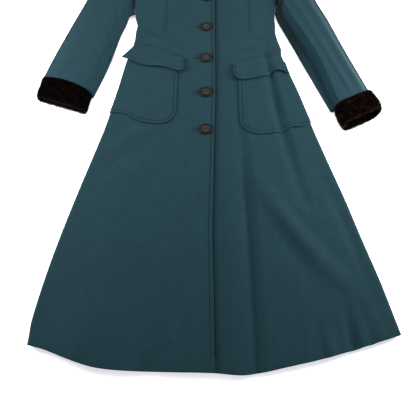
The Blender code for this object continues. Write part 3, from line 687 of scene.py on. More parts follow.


# %% [markdown]
# ### Milled wool
# Each groove also darkens the colour, as painted shade. A line just past the front edge, with no stitching,
# paints the shadow of the lapping edge on the under lap.
# The coat is thick woollen cloth, milled and raised until its weave is hidden under a short dense
# nap. The eye gets a matt, slightly cloudy teal with fine fibres, and a faint pale sheen where it
# turns away. Real clumps of nap are about a millimetre across. They are drawn 2.6 mm wide, because
# a pixel of the picture covers 2.3 mm of cloth. Clouds of nap are about a thumb wide. A stored
# distance draws the shallow groove that each row of topstitching pulls into the cloth.
#
# A second stored value paints a darker strip along the inner fold of each sleeve. It stands in for
# deep shade that the lamps of this scene don't give. The real cloth has no such strip.

# %% Milled wool
NAP_MM = 2.6
CLOUD_MM = 24.0
GROOVE_MM = 2.3
GROOVE_SHADE_TONE = 0.76  # painted shade: share of the colour that is left in a groove
PAINTED_TONE = 0.3  # share of the colour that is left in the strip of painted shade
WOOL_DARK = "#0a2026"
WOOL_LIGHT = "#122b32"


def milled_wool(name, dark, light):
    made, tree, shader = new_material(name, 0.95, 0.12)
    place = add_node(tree, "ShaderNodeTexCoord")
    nap = add_node(
        tree,
        "ShaderNodeTexNoise",
        {"Vector": (place, "Object"), "Scale": 1 / (NAP_MM * MM), "Detail": 4.0, "Roughness": 0.7},
    )
    cloud = add_node(
        tree,
        "ShaderNodeTexNoise",
        {"Vector": (place, "Object"), "Scale": 1 / (CLOUD_MM * MM), "Detail": 3.0, "Roughness": 0.6},
    )
    both = add_node(
        tree, "ShaderNodeMix", {"Factor": 0.2, "A": (nap, "Fac"), "B": (cloud, "Fac")}, data_type="FLOAT"
    )
    spread = add_node(
        tree, "ShaderNodeMapRange", {"Value": (both, "Result"), "From Min": 0.34, "From Max": 0.66}
    )
    tone = blend_colours(tree, (spread, "Result"), dark, light)
    # painted shade: a stored share darkens the strip beside each sleeve's inner fold
    painted = add_node(tree, "ShaderNodeAttribute", attribute_name="fold_depth")
    signed_gap = add_node(tree, "ShaderNodeAttribute", attribute_name="stitch_gap")
    gap = add_node(tree, "ShaderNodeMath", {0: (signed_gap, "Fac")}, operation="ABSOLUTE")
    groove = add_node(
        tree,
        "ShaderNodeMapRange",
        {"Value": (gap, "Value"), "From Max": GROOVE_MM},
        interpolation_type="SMOOTHSTEP",
    )
    # painted shade: the colour is darkened in each groove
    painted_groove_shade = add_node(tree, "ShaderNodeMapRange", {"Value": (groove, "Result"), "To Min": GROOVE_SHADE_TONE})
    in_strip = add_node(
        tree, "ShaderNodeMapRange", {"Value": (painted, "Fac"), "To Min": 1.0, "To Max": PAINTED_TONE}
    )
    both_shades = add_node(
        tree, "ShaderNodeMath", {0: (painted_groove_shade, "Result"), 1: (in_strip, "Result")}, operation="MULTIPLY"
    )
    dimmed = add_node(
        tree,
        "ShaderNodeVectorMath",
        {0: (tone, "Color"), 1: (both_shades, "Value")},
        operation="MULTIPLY",
    )
    tree.links.new(dimmed.outputs["Vector"], shader.inputs["Base Color"])
    fibre_bump = add_node(
        tree, "ShaderNodeBump", {"Height": (nap, "Fac"), "Strength": 0.55, "Distance": 0.0005}
    )
    groove_bump = add_node(
        tree,
        "ShaderNodeBump",
        {"Height": (groove, "Result"), "Normal": (fibre_bump, "Normal"), "Strength": 1.0, "Distance": 0.0015},
    )
    tree.links.new(groove_bump.outputs["Normal"], shader.inputs["Normal"])
    shader.inputs["Sheen Weight"].default_value = 0.08
    shader.inputs["Sheen Roughness"].default_value = 0.45
    shader.inputs["Sheen Tint"].default_value = to_linear("#7f9aa2")
    return made


WOOL = milled_wool("milled_teal_wool", WOOL_DARK, WOOL_LIGHT)

# %% [markdown]
# ### Sheared fur
# The cuffs are dense fur, sheared short and dyed almost black. The hide is drawn as a soft dark
# ground, and thousands of short tapering hairs stand on it. Each hair carries a tint from 0 at its
# root to its own value at the tip, so tips are browner than roots. It is highest for the short pale
# hairs round the mouth of each cuff.
# The two cuffs are tinted differently, which is painted light and shade.

# %% Sheared fur and thread
HIDE_DARK = "#020101"
HIDE_LIGHT = "#080403"
HAIR_ROOT = "#030101"
HAIR_TIP = "#4c2e27"
RIM_TIP = "#9a8077"


def fur_ground():
    made, tree, shader = new_material("sheared_fur_ground", 1.0, 0.0)
    place = add_node(tree, "ShaderNodeTexCoord")
    tufts = add_node(tree, "ShaderNodeTexNoise", {"Vector": (place, "Object"), "Scale": 220.0, "Detail": 3.0})
    tone = blend_colours(tree, (tufts, "Fac"), HIDE_DARK, HIDE_LIGHT)
    tree.links.new(tone.outputs["Color"], shader.inputs["Base Color"])
    bump = add_node(tree, "ShaderNodeBump", {"Height": (tufts, "Fac"), "Strength": 0.8, "Distance": 0.002})
    tree.links.new(bump.outputs["Normal"], shader.inputs["Normal"])
    return made


def fur_hair():
    made, tree, shader = new_material("sheared_fur_hair", 0.6, 0.12)
    tint = add_node(tree, "ShaderNodeAttribute", attribute_name="hair_tint")
    tone = blend_colours(tree, (tint, "Fac"), HAIR_ROOT, RIM_TIP)
    tip = tone.color_ramp.elements.new(0.6)
    tip.color = to_linear(HAIR_TIP)
    tree.links.new(tone.outputs["Color"], shader.inputs["Base Color"])
    return made


def sewing_thread(name, colour):
    made, tree, shader = new_material(name, 0.7, 0.1)
    place = add_node(tree, "ShaderNodeTexCoord")
    twist = add_node(
        tree, "ShaderNodeTexNoise", {"Vector": (place, "Object"), "Scale": 2500.0, "Detail": 1.0}
    )
    tone = blend_colours(tree, (twist, "Fac"), colour[0], colour[1])
    tree.links.new(tone.outputs["Color"], shader.inputs["Base Color"])
    return made


FUR_GROUND = fur_ground()
FUR_HAIR = fur_hair()
TEAL_THREAD = sewing_thread("twisted_teal_thread", ("#0d1d22", "#152b31"))
DARK_THREAD = sewing_thread("waxed_dark_thread", ("#0b1113", "#1d272a"))

# %% [markdown]
# ## Skirt
# Four panels hang from the waist seam. The right front's edge is the long line down the middle of
# the picture, and the left front runs on under it. Across a panel the columns of points turn from
# the line of the folded side to the line of the front edge.

# %% Skirt panels
surfaces = {}
SKIRT_RUN = 850.0  # length of a skirt panel, which sets how many faces it gets


def inner_edge(side, kind, y):
    """Where a panel ends: at the front edge, under the lap, or at the centre back seam."""
    if kind == "back":
        return np.full(np.shape(y), CENTRE_X + side["sign"] * PRESSED_SEAM / 2)
    return edge_x(y) - (0 if side["sign"] < 0 else OVERLAP)


def skirt(side, kind, height, up):
    step = MESH_STEP[kind]
    rows = even(round(SKIRT_RUN / step))
    hem_y = side["hem_end"][1]
    fold = np.stack([side_x(side, rows * hem_y), rows * hem_y], axis=-1)
    middle_y = float(table_value(HEM, edge_x(FRONT_EDGE[-1][0]), 1))
    inner = np.stack([inner_edge(side, kind, rows * middle_y), rows * middle_y], axis=-1)
    hem = np.array((fold[-1], inner[-1]))
    shares = from_start(hem, step)
    waist = np.array((fold[0], inner[0]))
    near = ROLL_DEPTHS / length_of(waist)
    rest = even(len(shares) - 1 - ROLL_STEPS)
    top = samples(waist, np.concatenate([near[:-1], near[-1] + (1 - near[-1]) * rest]))
    bottom = samples(hem, shares)
    bottom[:, 1] = table_value(HEM, bottom[:, 0], 1)
    bottom[0, 1], inner[-1, 1] = hem_y, bottom[-1, 1]
    grid = patch(fold, inner, top, bottom)
    grid[..., 1] -= PRESSED_SEAM / 2 * (1 - rows)[:, None]
    places, normals = layer(grid, height, up, fold_start=True)
    name = f"skirt_{kind}_{side['name']}"
    surfaces[name] = places
    return cloth(f"wool_{name}", places, normals, edges=(PRESSED, SOFT, SOFT, PRESSED))


FRONT_SURFACE = {"right": lapping_height, "left": under_lap_height}
for side in (RIGHT, LEFT):
    skirt(side, "front", FRONT_SURFACE[side["name"]], 1)
    skirt(side, "back", back_height, -1)
print("skirt panels:", [len(p.data.polygons) for p in pieces.values()])

# %% [markdown]
# ## Bodice
# Above the waist each half has a narrow side panel and a wider centre panel, joined by a curved
# princess seam that ends in the armhole. The shoulders roll over like the folded sides.


# %% Bodice panels
# lengths along the panels, which set how many faces they get
SIDE_PANEL_RUN, CENTRE_PANEL_RUN, SHOULDER_RUN = 200.0, 240.0, 124.0
# marks of the neck seam after the shoulder: distance from the centre line, and y
NECK_MARKS = {"back": ((44, 371),), "front": ((60, 346), (34, 324))}


def armhole_samples(side, step):
    """The armhole from the armpit to the shoulder, with roll steps at both ends."""
    line = (side["armpit"], *side["armhole"], side["shoulder"])
    near = ROLL_DEPTHS / length_of(line)
    half = max(3, round(length_of(line) / 2 / step))
    lower = near[-1] + (0.5 - near[-1]) * even(half)
    upper = 0.5 + (0.5 - near[-1]) * even(half)
    shares = np.concatenate([near[:-1], lower, upper[1:], 1 - near[::-1][1:]])
    return samples(line, shares), ROLL_STEPS + half


def bodice_side(side, kind, height, up):
    step = MESH_STEP[kind]
    armhole, junction = armhole_samples(side, step)
    top = armhole[: junction + 1].copy()
    rows = even(round(SIDE_PANEL_RUN / step))
    princess = samples((*side["princess"], tuple(top[-1])), rows)
    princess[:, 0] += side["sign"] * SEAM / 2
    top[-1] = princess[-1]
    fold = np.stack([side_x(side, ARMPIT_Y * rows), ARMPIT_Y * rows], axis=-1)
    fold[-1] = top[0]
    waist = np.array((fold[0], princess[0]))
    near = ROLL_DEPTHS / length_of(waist)
    rest = even(len(top) - 1 - ROLL_STEPS)
    bottom = samples(waist, np.concatenate([near[:-1], near[-1] + (1 - near[-1]) * rest]))
    grid = patch(fold, princess, bottom, top)
    grid[..., 1] += PRESSED_SEAM / 2 * (1 - rows)[:, None]
    places, normals = layer(grid, height, up, fold_start=True)
    name = f"bodice_side_{kind}_{side['name']}"
    surfaces[name] = places
    return cloth(f"wool_{name}", places, normals, edges=(PRESSED, PRESSED, SOFT, PRESSED))


def neck_line(side, kind):
    """Half of the neck seam, from the shoulder to the front edge or the centre back."""
    marks = [(CENTRE_X + side["sign"] * across, y) for across, y in (NECK_SIDE, *NECK_MARKS[kind])]
    end_x = float(inner_edge(side, kind, FRONT_NECK_Y))
    end_y = BACK_NECK_Y if kind == "back" else FRONT_NECK_Y + (UNDER_NECK_RISE if side is LEFT else 0)
    return (*marks, (end_x, end_y))


def neck_samples(side, kind, step):
    line = neck_line(side, kind)
    return samples(line, from_start(line, step))


def roll_shoulder(grid, places, normals, up, shoulder_columns):
    """Rolls the last rows down at the shoulder seam, and round its end at the neck."""
    out_all = unit(grid[-1] - grid[-1 - ROLL_STEPS])
    corner = grid[-1, shoulder_columns]
    for k in range(ROLL_STEPS):
        row = len(grid) - 1 - k
        plan = grid[row]
        away = corner - plan
        depth = np.linalg.norm(away, axis=-1)
        depth[: shoulder_columns + 1] = ROLL_DEPTHS[k]
        out = np.where((np.arange(len(plan)) <= shoulder_columns)[:, None], out_all, unit(away))
        near = depth < ROLL_RADIUS
        turned, facing = rolled(plan, np.minimum(depth, ROLL_RADIUS), out, up)
        places[row][near], normals[row][near] = turned[near], facing[near]


def bodice_centre(side, kind, height, up):
    step = MESH_STEP[kind]
    armhole, junction = armhole_samples(side, step)
    upper = armhole[junction:]
    below = round(CENTRE_PANEL_RUN / step)
    princess = samples((*side["princess"], tuple(upper[0])), even(below))
    princess[:, 0] -= side["sign"] * SEAM / 2
    start = np.concatenate([princess, upper[1:]])
    neck = neck_samples(side, kind, step)
    shoulder_columns = max(4, round(SHOULDER_RUN / step))
    shoulder = samples((upper[-1], neck[0]), even(shoulder_columns))
    top = np.concatenate([shoulder, neck[1:]])
    rows = len(start) - 1
    top_y = neck[-1][1]
    near = 1 - ROLL_DEPTHS[::-1] / top_y
    shares = np.concatenate([near[0] * even(rows - ROLL_STEPS), near[1:]])
    end = np.stack([inner_edge(side, kind, shares * top_y), shares * top_y], axis=-1)
    end[-1] = neck[-1]
    bottom = samples((start[0], end[0]), even(len(top) - 1))
    grid = patch(start, end, bottom, top)
    grid[..., 1] += PRESSED_SEAM / 2 * (1 - even(rows))[:, None]
    places, normals = layer(grid, height, up)
    roll_shoulder(grid, places, normals, up, shoulder_columns)
    name = f"bodice_{kind}_{side['name']}"
    surfaces[name] = places
    return cloth(f"wool_{name}", places, normals, edges=(PRESSED, SOFT, SOFT, PRESSED))


for side in (RIGHT, LEFT):
    for kind, surface, up in (("front", FRONT_SURFACE[side["name"]], 1), ("back", back_height, -1)):
        bodice_side(side, kind, surface, up)
        bodice_centre(side, kind, surface, up)
print("cloth pieces so far:", len(pieces))

# %% [markdown]
# ## Sleeves
# Each sleeve is a top and an under panel folded along two lengthwise lines. The left sleeve is half
# turned: its crown stands up like a tube, and a flat strip of it shows along the inner side. From
# 64 mm above the waist seam upwards both sleeves lie against the side of the bodice. Just below that
# place the inner fold of the right one is drawn out a little, as in the picture.


# %% Sleeve panels
def sleeve_end_axes(side):
    """Directions across a sleeve's end, from its outer to its inner fold, and towards the hand."""
    last = np.array(SLEEVES[side["name"]][-1], float)
    across = unit(last[2:4] - last[:2])
    along = np.array((across[1], -across[0])) * (1 if across[0] > 0 else -1)
    lean = math.radians(CUFFS[side["name"]]["lean"])
    cos, sin = math.cos(lean), math.sin(lean)
    return across, np.array((along[0] * cos - along[1] * sin, along[0] * sin + along[1] * cos))


ARMHOLE_END = 64.0  # above this height the sleeve lies against the side of the bodice
TOUCH_RUN = 4.0  # it comes to lie there within this length
DRAWN_OUT = {"right": 12.0, "left": 0.0}  # just below it the inner fold lies this much further out
DRAWN_LENGTH = 45.0


def sleeve_grid(side, up, step):
    table = np.array(SLEEVES[side["name"]], float)
    armhole, _ = armhole_samples(side, step)
    armhole = armhole[::-1] + np.array((side["sign"] * SEAM, -SEAM / 2))
    rows = even(round(SLEEVE_RUN / step))
    outer, inner = samples(table[:, :2], rows), samples(table[:, 2:4], rows)
    touching = ease((inner[:, 1] - ARMHOLE_END) / TOUCH_RUN)
    below = ARMHOLE_END - inner[:, 1]
    drawn_out = (below > 0) * (1 - ease(below / DRAWN_LENGTH))
    inner[:, 0] += side["sign"] * DRAWN_OUT[side["name"]] * drawn_out
    beside = side_x(side, inner[:, 1]) + side["sign"] * SEAM
    inner[:, 0] = inner[:, 0] * (1 - touching) + beside * touching
    outer[0], inner[0] = armhole[0], armhole[-1]
    near = ROLL_DEPTHS / np.linalg.norm(outer[-1] - inner[-1])
    middle = len(armhole) - 1 - 2 * ROLL_STEPS
    shares = np.concatenate([near[:-1], near[-1] + (1 - 2 * near[-1]) * even(middle), 1 - near[::-1][1:]])
    last = outer[-1] + (inner[-1] - outer[-1]) * shares[:, None]
    if up > 0:
        _, along = sleeve_end_axes(side)
        last = last - along * (CUFFS[side["name"]]["bulge"] * 4 * shares * (1 - shares))[:, None]
    return patch(outer, inner, armhole, last), rows


def crown_profile(share, flange):
    """Height of the top sleeve across its width, from 0 at the outer fold to 0 at the inner one."""
    rise = np.sin(math.pi / 2 * np.minimum(1.0, share / CROWN_SIDE))
    even_side = rise * np.sin(math.pi / 2 * np.minimum(1.0, (1 - share) / CROWN_SIDE))
    stepped = rise * ease((1 - flange - share) / FLANGE_RISE + 1)
    return np.where(flange > 0, stepped, even_side)


# soft creases: share of the length at the outer and the inner end, half width as a share, height
SLEEVE_CREASES = {
    "right": (
        (0.50, 0.66, 0.030, 1.6),
        (0.66, 0.78, 0.025, -1.3),
        (0.80, 0.70, 0.030, 1.0),
        (0.40, 0.46, 0.040, -1.2),
    ),
    "left": ((0.46, 0.40, 0.030, 1.2), (0.70, 0.62, 0.028, -1.0)),
}
# lengthwise ridges: share across, half width as a share, height
SLEEVE_RIDGES = {
    "right": ((0.62, 0.10, 0.8),),
    "left": ((0.20, 0.09, 1.8), (0.50, 0.10, 2.2), (0.35, 0.08, -1.0)),
}
# the strip of painted shade: width, soft border, shares of the length where it starts to fade and has gone
STRIP_SHADE = {"right": (5.0, 4.0, 0.25, 0.32), "left": (15.0, 7.0, 0.45, 0.85)}
STRIP_TOP = 32.0  # nothing above this height is painted
# creases fade within these shares of the sleeve's width, of its length at the hand, and at the shoulder
CREASE_SIDE, CREASE_HAND, CREASE_SHOULDER = 0.12, 0.06, 0.15
RIDGE_SHOULDER = 0.3
# the flat strip loses this share of its width, from this share of the length, over this one
STRIP_TAPER = (0.6, 0.7, 0.3)


def sleeve(side, up, kind):
    step = MESH_STEP[kind]
    grid, rows = sleeve_grid(side, up, step)
    places, normals = layer(grid, back_height, up, fold_start=True, fold_end=True)
    name = f"sleeve_{'top' if up > 0 else 'under'}_{side['name']}"
    if up > 0:
        body = slice(ROLL_STEPS, grid.shape[1] - ROLL_STEPS)
        table = np.array(SLEEVES[side["name"]], float)
        crowns = samples(table[:, [0, 1, 4]], rows)[:, 2:3]
        lost, lost_from, lost_over = STRIP_TAPER
        taper = FLANGE[side["name"]] * (1 - lost * ease((rows - lost_from) / lost_over))[:, None]
        first, last = grid[:, ROLL_STEPS : ROLL_STEPS + 1], grid[:, -1 - ROLL_STEPS][:, None]
        share = np.linalg.norm(grid[:, body] - first, axis=-1) / np.linalg.norm(last - first, axis=-1)
        profile = crown_profile(share, taper)
        wave = np.zeros_like(share)
        down_share = rows[:, None]
        for outer_place, inner_place, half, height in SLEEVE_CREASES[side["name"]]:
            middle = outer_place + (inner_place - outer_place) * share
            wave += height * (1 - ease(np.abs(down_share - middle) / half))
        for centre, half, height in SLEEVE_RIDGES[side["name"]]:
            wave += height * (1 - ease(np.abs(share - centre) / half)) * ease(down_share / RIDGE_SHOULDER)
        ends = ease(share / CREASE_SIDE) * ease((1 - share) / CREASE_SIDE)
        ends = ends * ease((1 - down_share) / CREASE_HAND)
        places[:, body, 2] = FLAT_TOP + crowns * profile + wave * ends * ease(down_share / CREASE_SHOULDER)
        down = np.gradient(places, axis=0)[:, body]
        across = np.gradient(places, axis=1)[:, body]
        normal = unit(np.cross(down, across))
        normals[:, body] = normal * np.where(normal[..., 2:3] > 0, 1, -1)
        normals[0, body] = (0, 0, 1)
    surfaces[name] = places
    piece = cloth(f"wool_{name}", places, normals)
    if up > 0:
        store_painted_fold_shade(piece, side, grid)
    return piece


def store_painted_fold_shade(piece, side, grid):
    """Marks the strip beside the inner fold where the wool is painted darker, as painted shade."""
    points = mesh_points(piece.data)
    away, share = line_distance(points[:, 0], points[:, 1], grid[:, -1])
    width, soft, full_to, ends_at = STRIP_SHADE[side["name"]]
    along = 1 - ease((share - full_to) / (ends_at - full_to))
    # depth here is the share of painted shade at each point
    depth = (1 - ease((away - width) / soft)) * along * (points[:, 2] < STRIP_TOP)
    store_values(piece.data, "fold_depth", depth)


for side in (RIGHT, LEFT):
    sleeve(side, 1, "front")
    sleeve(side, -1, "back")

# %% [markdown]
# ## Collar
# The stand collar carries on from the neck seam and opens upwards. Its right end laps over the left
# one, and one more button closes it.


# %% Collar
def neck_edge(side, kind, reverse, step):
    """A quarter of the neck seam: points, directions into the neck, heights, up and lap."""
    line = neck_samples(side, kind, step)
    tangent = np.gradient(line, axis=0)
    inward = unit(np.stack([tangent[:, 1], -tangent[:, 0]], axis=-1))
    inward *= np.where(inward[:, 1:2] < 0, -1, 1)
    up = 1 if kind == "front" else -1
    depth = np.minimum(np.linalg.norm(line - line[0], axis=1), ROLL_RADIUS)
    rise = np.sqrt(np.maximum(0.0, 1 - (1 - depth / ROLL_RADIUS) ** 2))
    lap = LAP_STEP if side is LEFT and kind == "front" else 0.0
    height = ROLL_RADIUS * (1 + up * rise)
    rows = np.column_stack([line, inward, height, np.full(len(line), up), np.full(len(line), lap)])
    return rows[::-1] if reverse else rows


COLLAR_STEP = 5.0
COLLAR_ROWS = 12
ring = np.concatenate(
    [
        neck_edge(LEFT, "front", True, COLLAR_STEP),
        neck_edge(LEFT, "back", False, COLLAR_STEP)[1:],
        neck_edge(RIGHT, "back", True, COLLAR_STEP)[1:],
        neck_edge(RIGHT, "front", False, COLLAR_STEP)[1:],
    ]
)
ring_x, ring_y = ring[:, 0] + ring[:, 2] * 2 * SEAM, ring[:, 1] + ring[:, 3] * 2 * SEAM
collar_rows = []
for t in even(COLLAR_ROWS):
    across = (ring_x - CENTRE_X) * (1 + (COLLAR_TOP_SHARE - 1) * t)
    half_width, radius = NECK_SIDE[0] * COLLAR_TOP_SHARE, COLLAR_OPEN / 2
    past = np.clip(np.abs(across) - (half_width - radius), 0, radius)
    open_height = radius + ring[:, 5] * np.sqrt(radius**2 - past**2)
    z = ring[:, 4] + (open_height - ring[:, 4]) * t
    z -= ring[:, 6] * (1 - ease((ring_x - edge_x(ring_y) - LAP_START) / LAP_RUN))
    run = COLLAR_HEIGHT + (COLLAR_FRONT_RUN - COLLAR_HEIGHT) * open_height / COLLAR_OPEN
    collar_rows.append(np.column_stack([CENTRE_X + across, ring_y + run * t, z]))
collar_places = np.array(collar_rows)
around = np.gradient(collar_places, axis=1)
collar_normals = unit(np.stack([-around[..., 2], np.zeros(around.shape[:2]), around[..., 0]], axis=-1))
surfaces["collar"] = collar_places
cloth("wool_collar", collar_places, collar_normals)

# %% [markdown]
# ## Pockets and flaps
# The patch pockets are single layers sewn on the skirt. They lie on it, so they are made from its
# surface, moved out by the cloth below. Each flap is sewn on above its pocket, climbs over it and
# stands a little off at its free edge. The right pocket's lower seam is puckered for a short way.

# %% Pockets
POCKET_STEP = 3.5  # size of a face
POCKET_WIDTH = 150.0
POCKET_END = 3  # the roll step at which a pocket ends beside the folded side
PUCKER = ((-186, -280), (-166, -272), (-140, -283))
PUCKER_HALF_WIDTH = 7.0
PUCKER_HEIGHT = 2.6
PUCKER_BARE = 9.0  # no stitch lies this close to the pucker


def pocket_lift(x, y):
    """Extra height of the right pocket where its sewing has drawn up."""
    away, share = fold_distance(x, y, *PUCKER)
    return PUCKER_HEIGHT * (1 - ease(away / PUCKER_HALF_WIDTH)) * np.sin(math.pi * share)


def pocket_grid(side, step):
    sizes = POCKETS[side["name"]]
    rows = even(round(length_of(sizes["inner"]) / step))
    inner = samples(sizes["inner"], rows)
    high_y, low_y = sizes["top"][-1][1], sizes["bottom"][-1][1]
    fold_y = high_y + (low_y - high_y) * rows
    reach = ROLL_DEPTHS[POCKET_END]
    fold = np.stack([side_x(side, fold_y) - side["sign"] * reach, fold_y], axis=-1)
    near = ROLL_DEPTHS[POCKET_END:] - reach
    columns = round(POCKET_WIDTH / step)

    def across(line):
        start = near / length_of(line)
        return samples(line, np.concatenate([start[:-1], start[-1] + (1 - start[-1]) * even(columns)]))

    top_line = (tuple(fold[0]), sizes["top"][0])
    bottom_line = (tuple(fold[-1]), *sizes["bottom"][:-1][::-1])
    return patch(fold, inner, across(top_line), across(bottom_line))


def on_front(x, y, side):
    """Points and directions of the skirt front, rolling down at the folded side."""
    places, normals = surface_at(front_height, x, y)
    depth = np.abs(side_x(side, y)) - np.abs(x)
    out = np.zeros((*np.shape(x), 2))
    out[..., 0] = side["sign"]
    turned, facing = rolled(places[..., :2], np.clip(depth, 0, ROLL_RADIUS), out, 1)
    near = (depth < ROLL_RADIUS)[..., None]
    return np.where(near, turned, places), np.where(near, facing, normals)


for side in (RIGHT, LEFT):
    grid = pocket_grid(side, POCKET_STEP)
    x, y = grid[..., 0], grid[..., 1]
    places, normals = on_front(x, y, side)
    lift = SEAM + CLOTH + (pocket_lift(x, y) if side is RIGHT else 0 * x)
    places = places + normals * lift[..., None]
    surfaces[f"pocket_{side['name']}"] = places
    cloth(f"wool_pocket_{side['name']}", places, normals)


# %% Flaps
FLAP_RIPPLE = 0.8  # height of the ripple at the free edge
FLAP_WAVES = 17.0  # its phase from end to end


def flap_points(side, across, down):
    """Points of a flap's outer skin at shares across it, from the inner end, and down from its seam."""
    sizes = FLAPS[side["name"]]
    seam, edge = samples(sizes["seam"], across), samples(sizes["edge"], across)
    plan = seam + (edge - seam) * down[..., None]
    x, y = plan[..., 0], plan[..., 1]
    limit = side_x(side, y) - side["sign"] * ROLL_RADIUS
    inside = np.maximum(x, limit) if side["sign"] < 0 else np.minimum(x, limit)
    places, normals = surface_at(front_height, inside, y)
    places[..., 0] = x
    lift = FLAP_GAP + (CLOTH + SEAM) * ease(down / FLAP_SEAM_SHARE) + FLAP_LIFT * down**2
    ripple = FLAP_RIPPLE * np.sin(across * FLAP_WAVES) * down**2
    return places + normals * (lift + np.maximum(ripple, 0) + CLOTH)[..., None], normals


FLAP_COLUMNS, FLAP_ROWS = 44, 16
for side in (RIGHT, LEFT):
    shares = even(FLAP_COLUMNS) ** 1.3  # closer at the rounded inner end
    down, across = np.meshgrid(even(FLAP_ROWS), shares, indexing="ij")
    places, normals = flap_points(side, across, down)
    surfaces[f"flap_{side['name']}"] = places
    cloth(f"wool_flap_{side['name']}", places, normals)
print("cloth pieces:", len(pieces))

# %% [markdown]
# ## Topstitching
# A row of machine stitches runs 7 mm inside the front edge, along the princess seams, and round
# pockets and flaps. It pulls a shallow groove into the cloth and holds the seam flat. Each stitch
# is a small spindle of thread. Their pitch is 3.4 mm.

# %% Stitch lines
STITCH_PITCH = 3.4
STITCH_LENGTH = 2.5
STITCH_RADIUS = 0.32
STITCH_RISE = 0.35  # share of the radius by which a stitch lies above the cloth
TOPSTITCH = 7.0


def shifted(line, distance):
    """A plan line moved sideways. A positive distance moves it to the right of its direction."""
    tangent = unit(np.gradient(line, axis=0))
    return line + np.stack([tangent[:, 1], -tangent[:, 0]], axis=-1) * distance


def evenly_spaced(line, pitch):
    """The same plan line with points one pitch apart."""
    run = run_lengths(line)
    wanted = np.arange(pitch / 2, run[-1], pitch)
    return np.stack([np.interp(wanted, run, line[:, k]) for k in range(line.shape[1])], axis=-1)


def stitch_row(name, places, normals):
    """Spindles of thread along a row of points."""
    length, radius = STITCH_LENGTH, STITCH_RADIUS
    along = unit(np.gradient(places, axis=0))
    side_way = unit(np.cross(normals, along))
    vertices, faces = [], []
    for k in range(len(places)):
        base = 6 * k
        centre = places[k] + normals[k] * radius * STITCH_RISE
        half = along[k] * length / 2
        vertices += [centre - half, centre + half]
        vertices += [centre + side_way[k] * radius, centre + normals[k] * radius]
        vertices += [centre - side_way[k] * radius, centre - normals[k] * radius]
        for a, b in ((2, 3), (3, 4), (4, 5), (5, 2)):
            faces += [(base, base + b, base + a), (base + 1, base + a, base + b)]
    return add_piece(name, np.array(vertices), faces, TEAL_THREAD, 80)


def front_line(offset):
    """A plan line beside the front edge, from the neck to the hem."""
    y = np.linspace(FRONT_NECK_Y - 4, -850, 200)
    return np.stack([edge_x(y) - offset, y], axis=-1)


def princess_line(side, offset):
    line = samples((*side["princess"], side["armhole"][1]), even(60))[:56]
    return shifted(line, -side["sign"] * offset)


def pocket_line(side, offset):
    """Inside a pocket's inner edge and bottom."""
    sizes = POCKETS[side["name"]]
    line = np.concatenate([samples(sizes["inner"], even(60)), samples(sizes["bottom"], even(60))[1:57]])
    return shifted(line, side["sign"] * offset)[4:]


plan_lines = {
    "front_edge": front_line(TOPSTITCH),
    # no stitches on this line: its groove paints the shadow of the lapping edge on the under lap
    "under_lap_shadow_line": front_line(-1.0),
    "princess_right": princess_line(RIGHT, TOPSTITCH),
    "princess_left": princess_line(LEFT, TOPSTITCH),
    "pocket_right": pocket_line(RIGHT, -TOPSTITCH),
    "pocket_left": pocket_line(LEFT, -TOPSTITCH),
}
for name in ("front_edge", "princess_right", "princess_left"):
    spots = evenly_spaced(plan_lines[name], STITCH_PITCH)
    height = front_height if name == "princess_left" else lapping_height
    stitch_row(f"topstitch_{name}", *surface_at(height, spots[:, 0], spots[:, 1]))
for side in (RIGHT, LEFT):
    spots = evenly_spaced(plan_lines[f"pocket_{side['name']}"], STITCH_PITCH)
    if side is RIGHT:
        away, share = fold_distance(spots[:, 0], spots[:, 1], *PUCKER)
        spots = spots[(away > PUCKER_BARE) | (share < 0.05) | (share > 0.95)]
    places, normals = on_front(spots[:, 0], spots[:, 1], side)
    stitch_row(f"topstitch_pocket_{side['name']}", places + normals * (SEAM + CLOTH), normals)

# %% Stitches of the flaps
# Rows of stitches on a flap: shares across and down it at the two ends of each row
FLAP_ROWS_OF_STITCHES = (
    ((0.02, 0.06), (0.97, 0.06)),
    ((0.05, 0.19), (0.95, 0.19)),
    ((0.05, 0.19), (0.05, 0.86)),
    ((0.05, 0.86), (0.95, 0.86)),
)
flap_grooves = {}
for side in (RIGHT, LEFT):
    places, normals, lines = [], [], []
    for start, end in FLAP_ROWS_OF_STITCHES:
        shares = np.linspace(start, end, 120)
        row, facing = flap_points(side, shares[:, 0], shares[:, 1])
        lines.append(row)
        both = evenly_spaced(np.concatenate([row, facing], axis=1), STITCH_PITCH)
        places.append(both[:, :3])
        normals.append(unit(both[:, 3:]))
    # the seam, and one line along the second row, down the front end and along the free edge
    seam, second, end, edge = (line[::8, :2] for line in lines)
    flap_grooves[side["name"]] = [seam, np.concatenate([second[::-1], end[1:], edge[1:]])]
    stitch_row(f"topstitch_flap_{side['name']}", np.concatenate(places), np.concatenate(normals))


# %% Store the distance to the nearest stitch line, or to the line of painted shadow beside the front edge
NO_STITCH = 50.0  # stored where no stitch line is near


def store_gap(piece_name, lines):
    """Writes each point's distance, in mm, to the nearest of some plan lines, with its side as sign."""
    points = mesh_points(pieces[piece_name].data)
    gap = np.full(len(points), NO_STITCH)
    for line in lines:
        away, share = line_distance(points[:, 0], points[:, 1], line)
        near = np.minimum((share * (len(line) - 1)).astype(int), len(line) - 2)
        step, offset = line[near + 1] - line[near], points[:, :2] - line[near]
        turn = np.sign(step[:, 0] * offset[:, 1] - step[:, 1] * offset[:, 0])
        gap = np.where(away < np.abs(gap), away * np.where(turn == 0, 1, turn), gap)
    store_values(pieces[piece_name].data, "stitch_gap", gap)


thin = {name: line[:: max(1, len(line) // 40)] for name, line in plan_lines.items()}
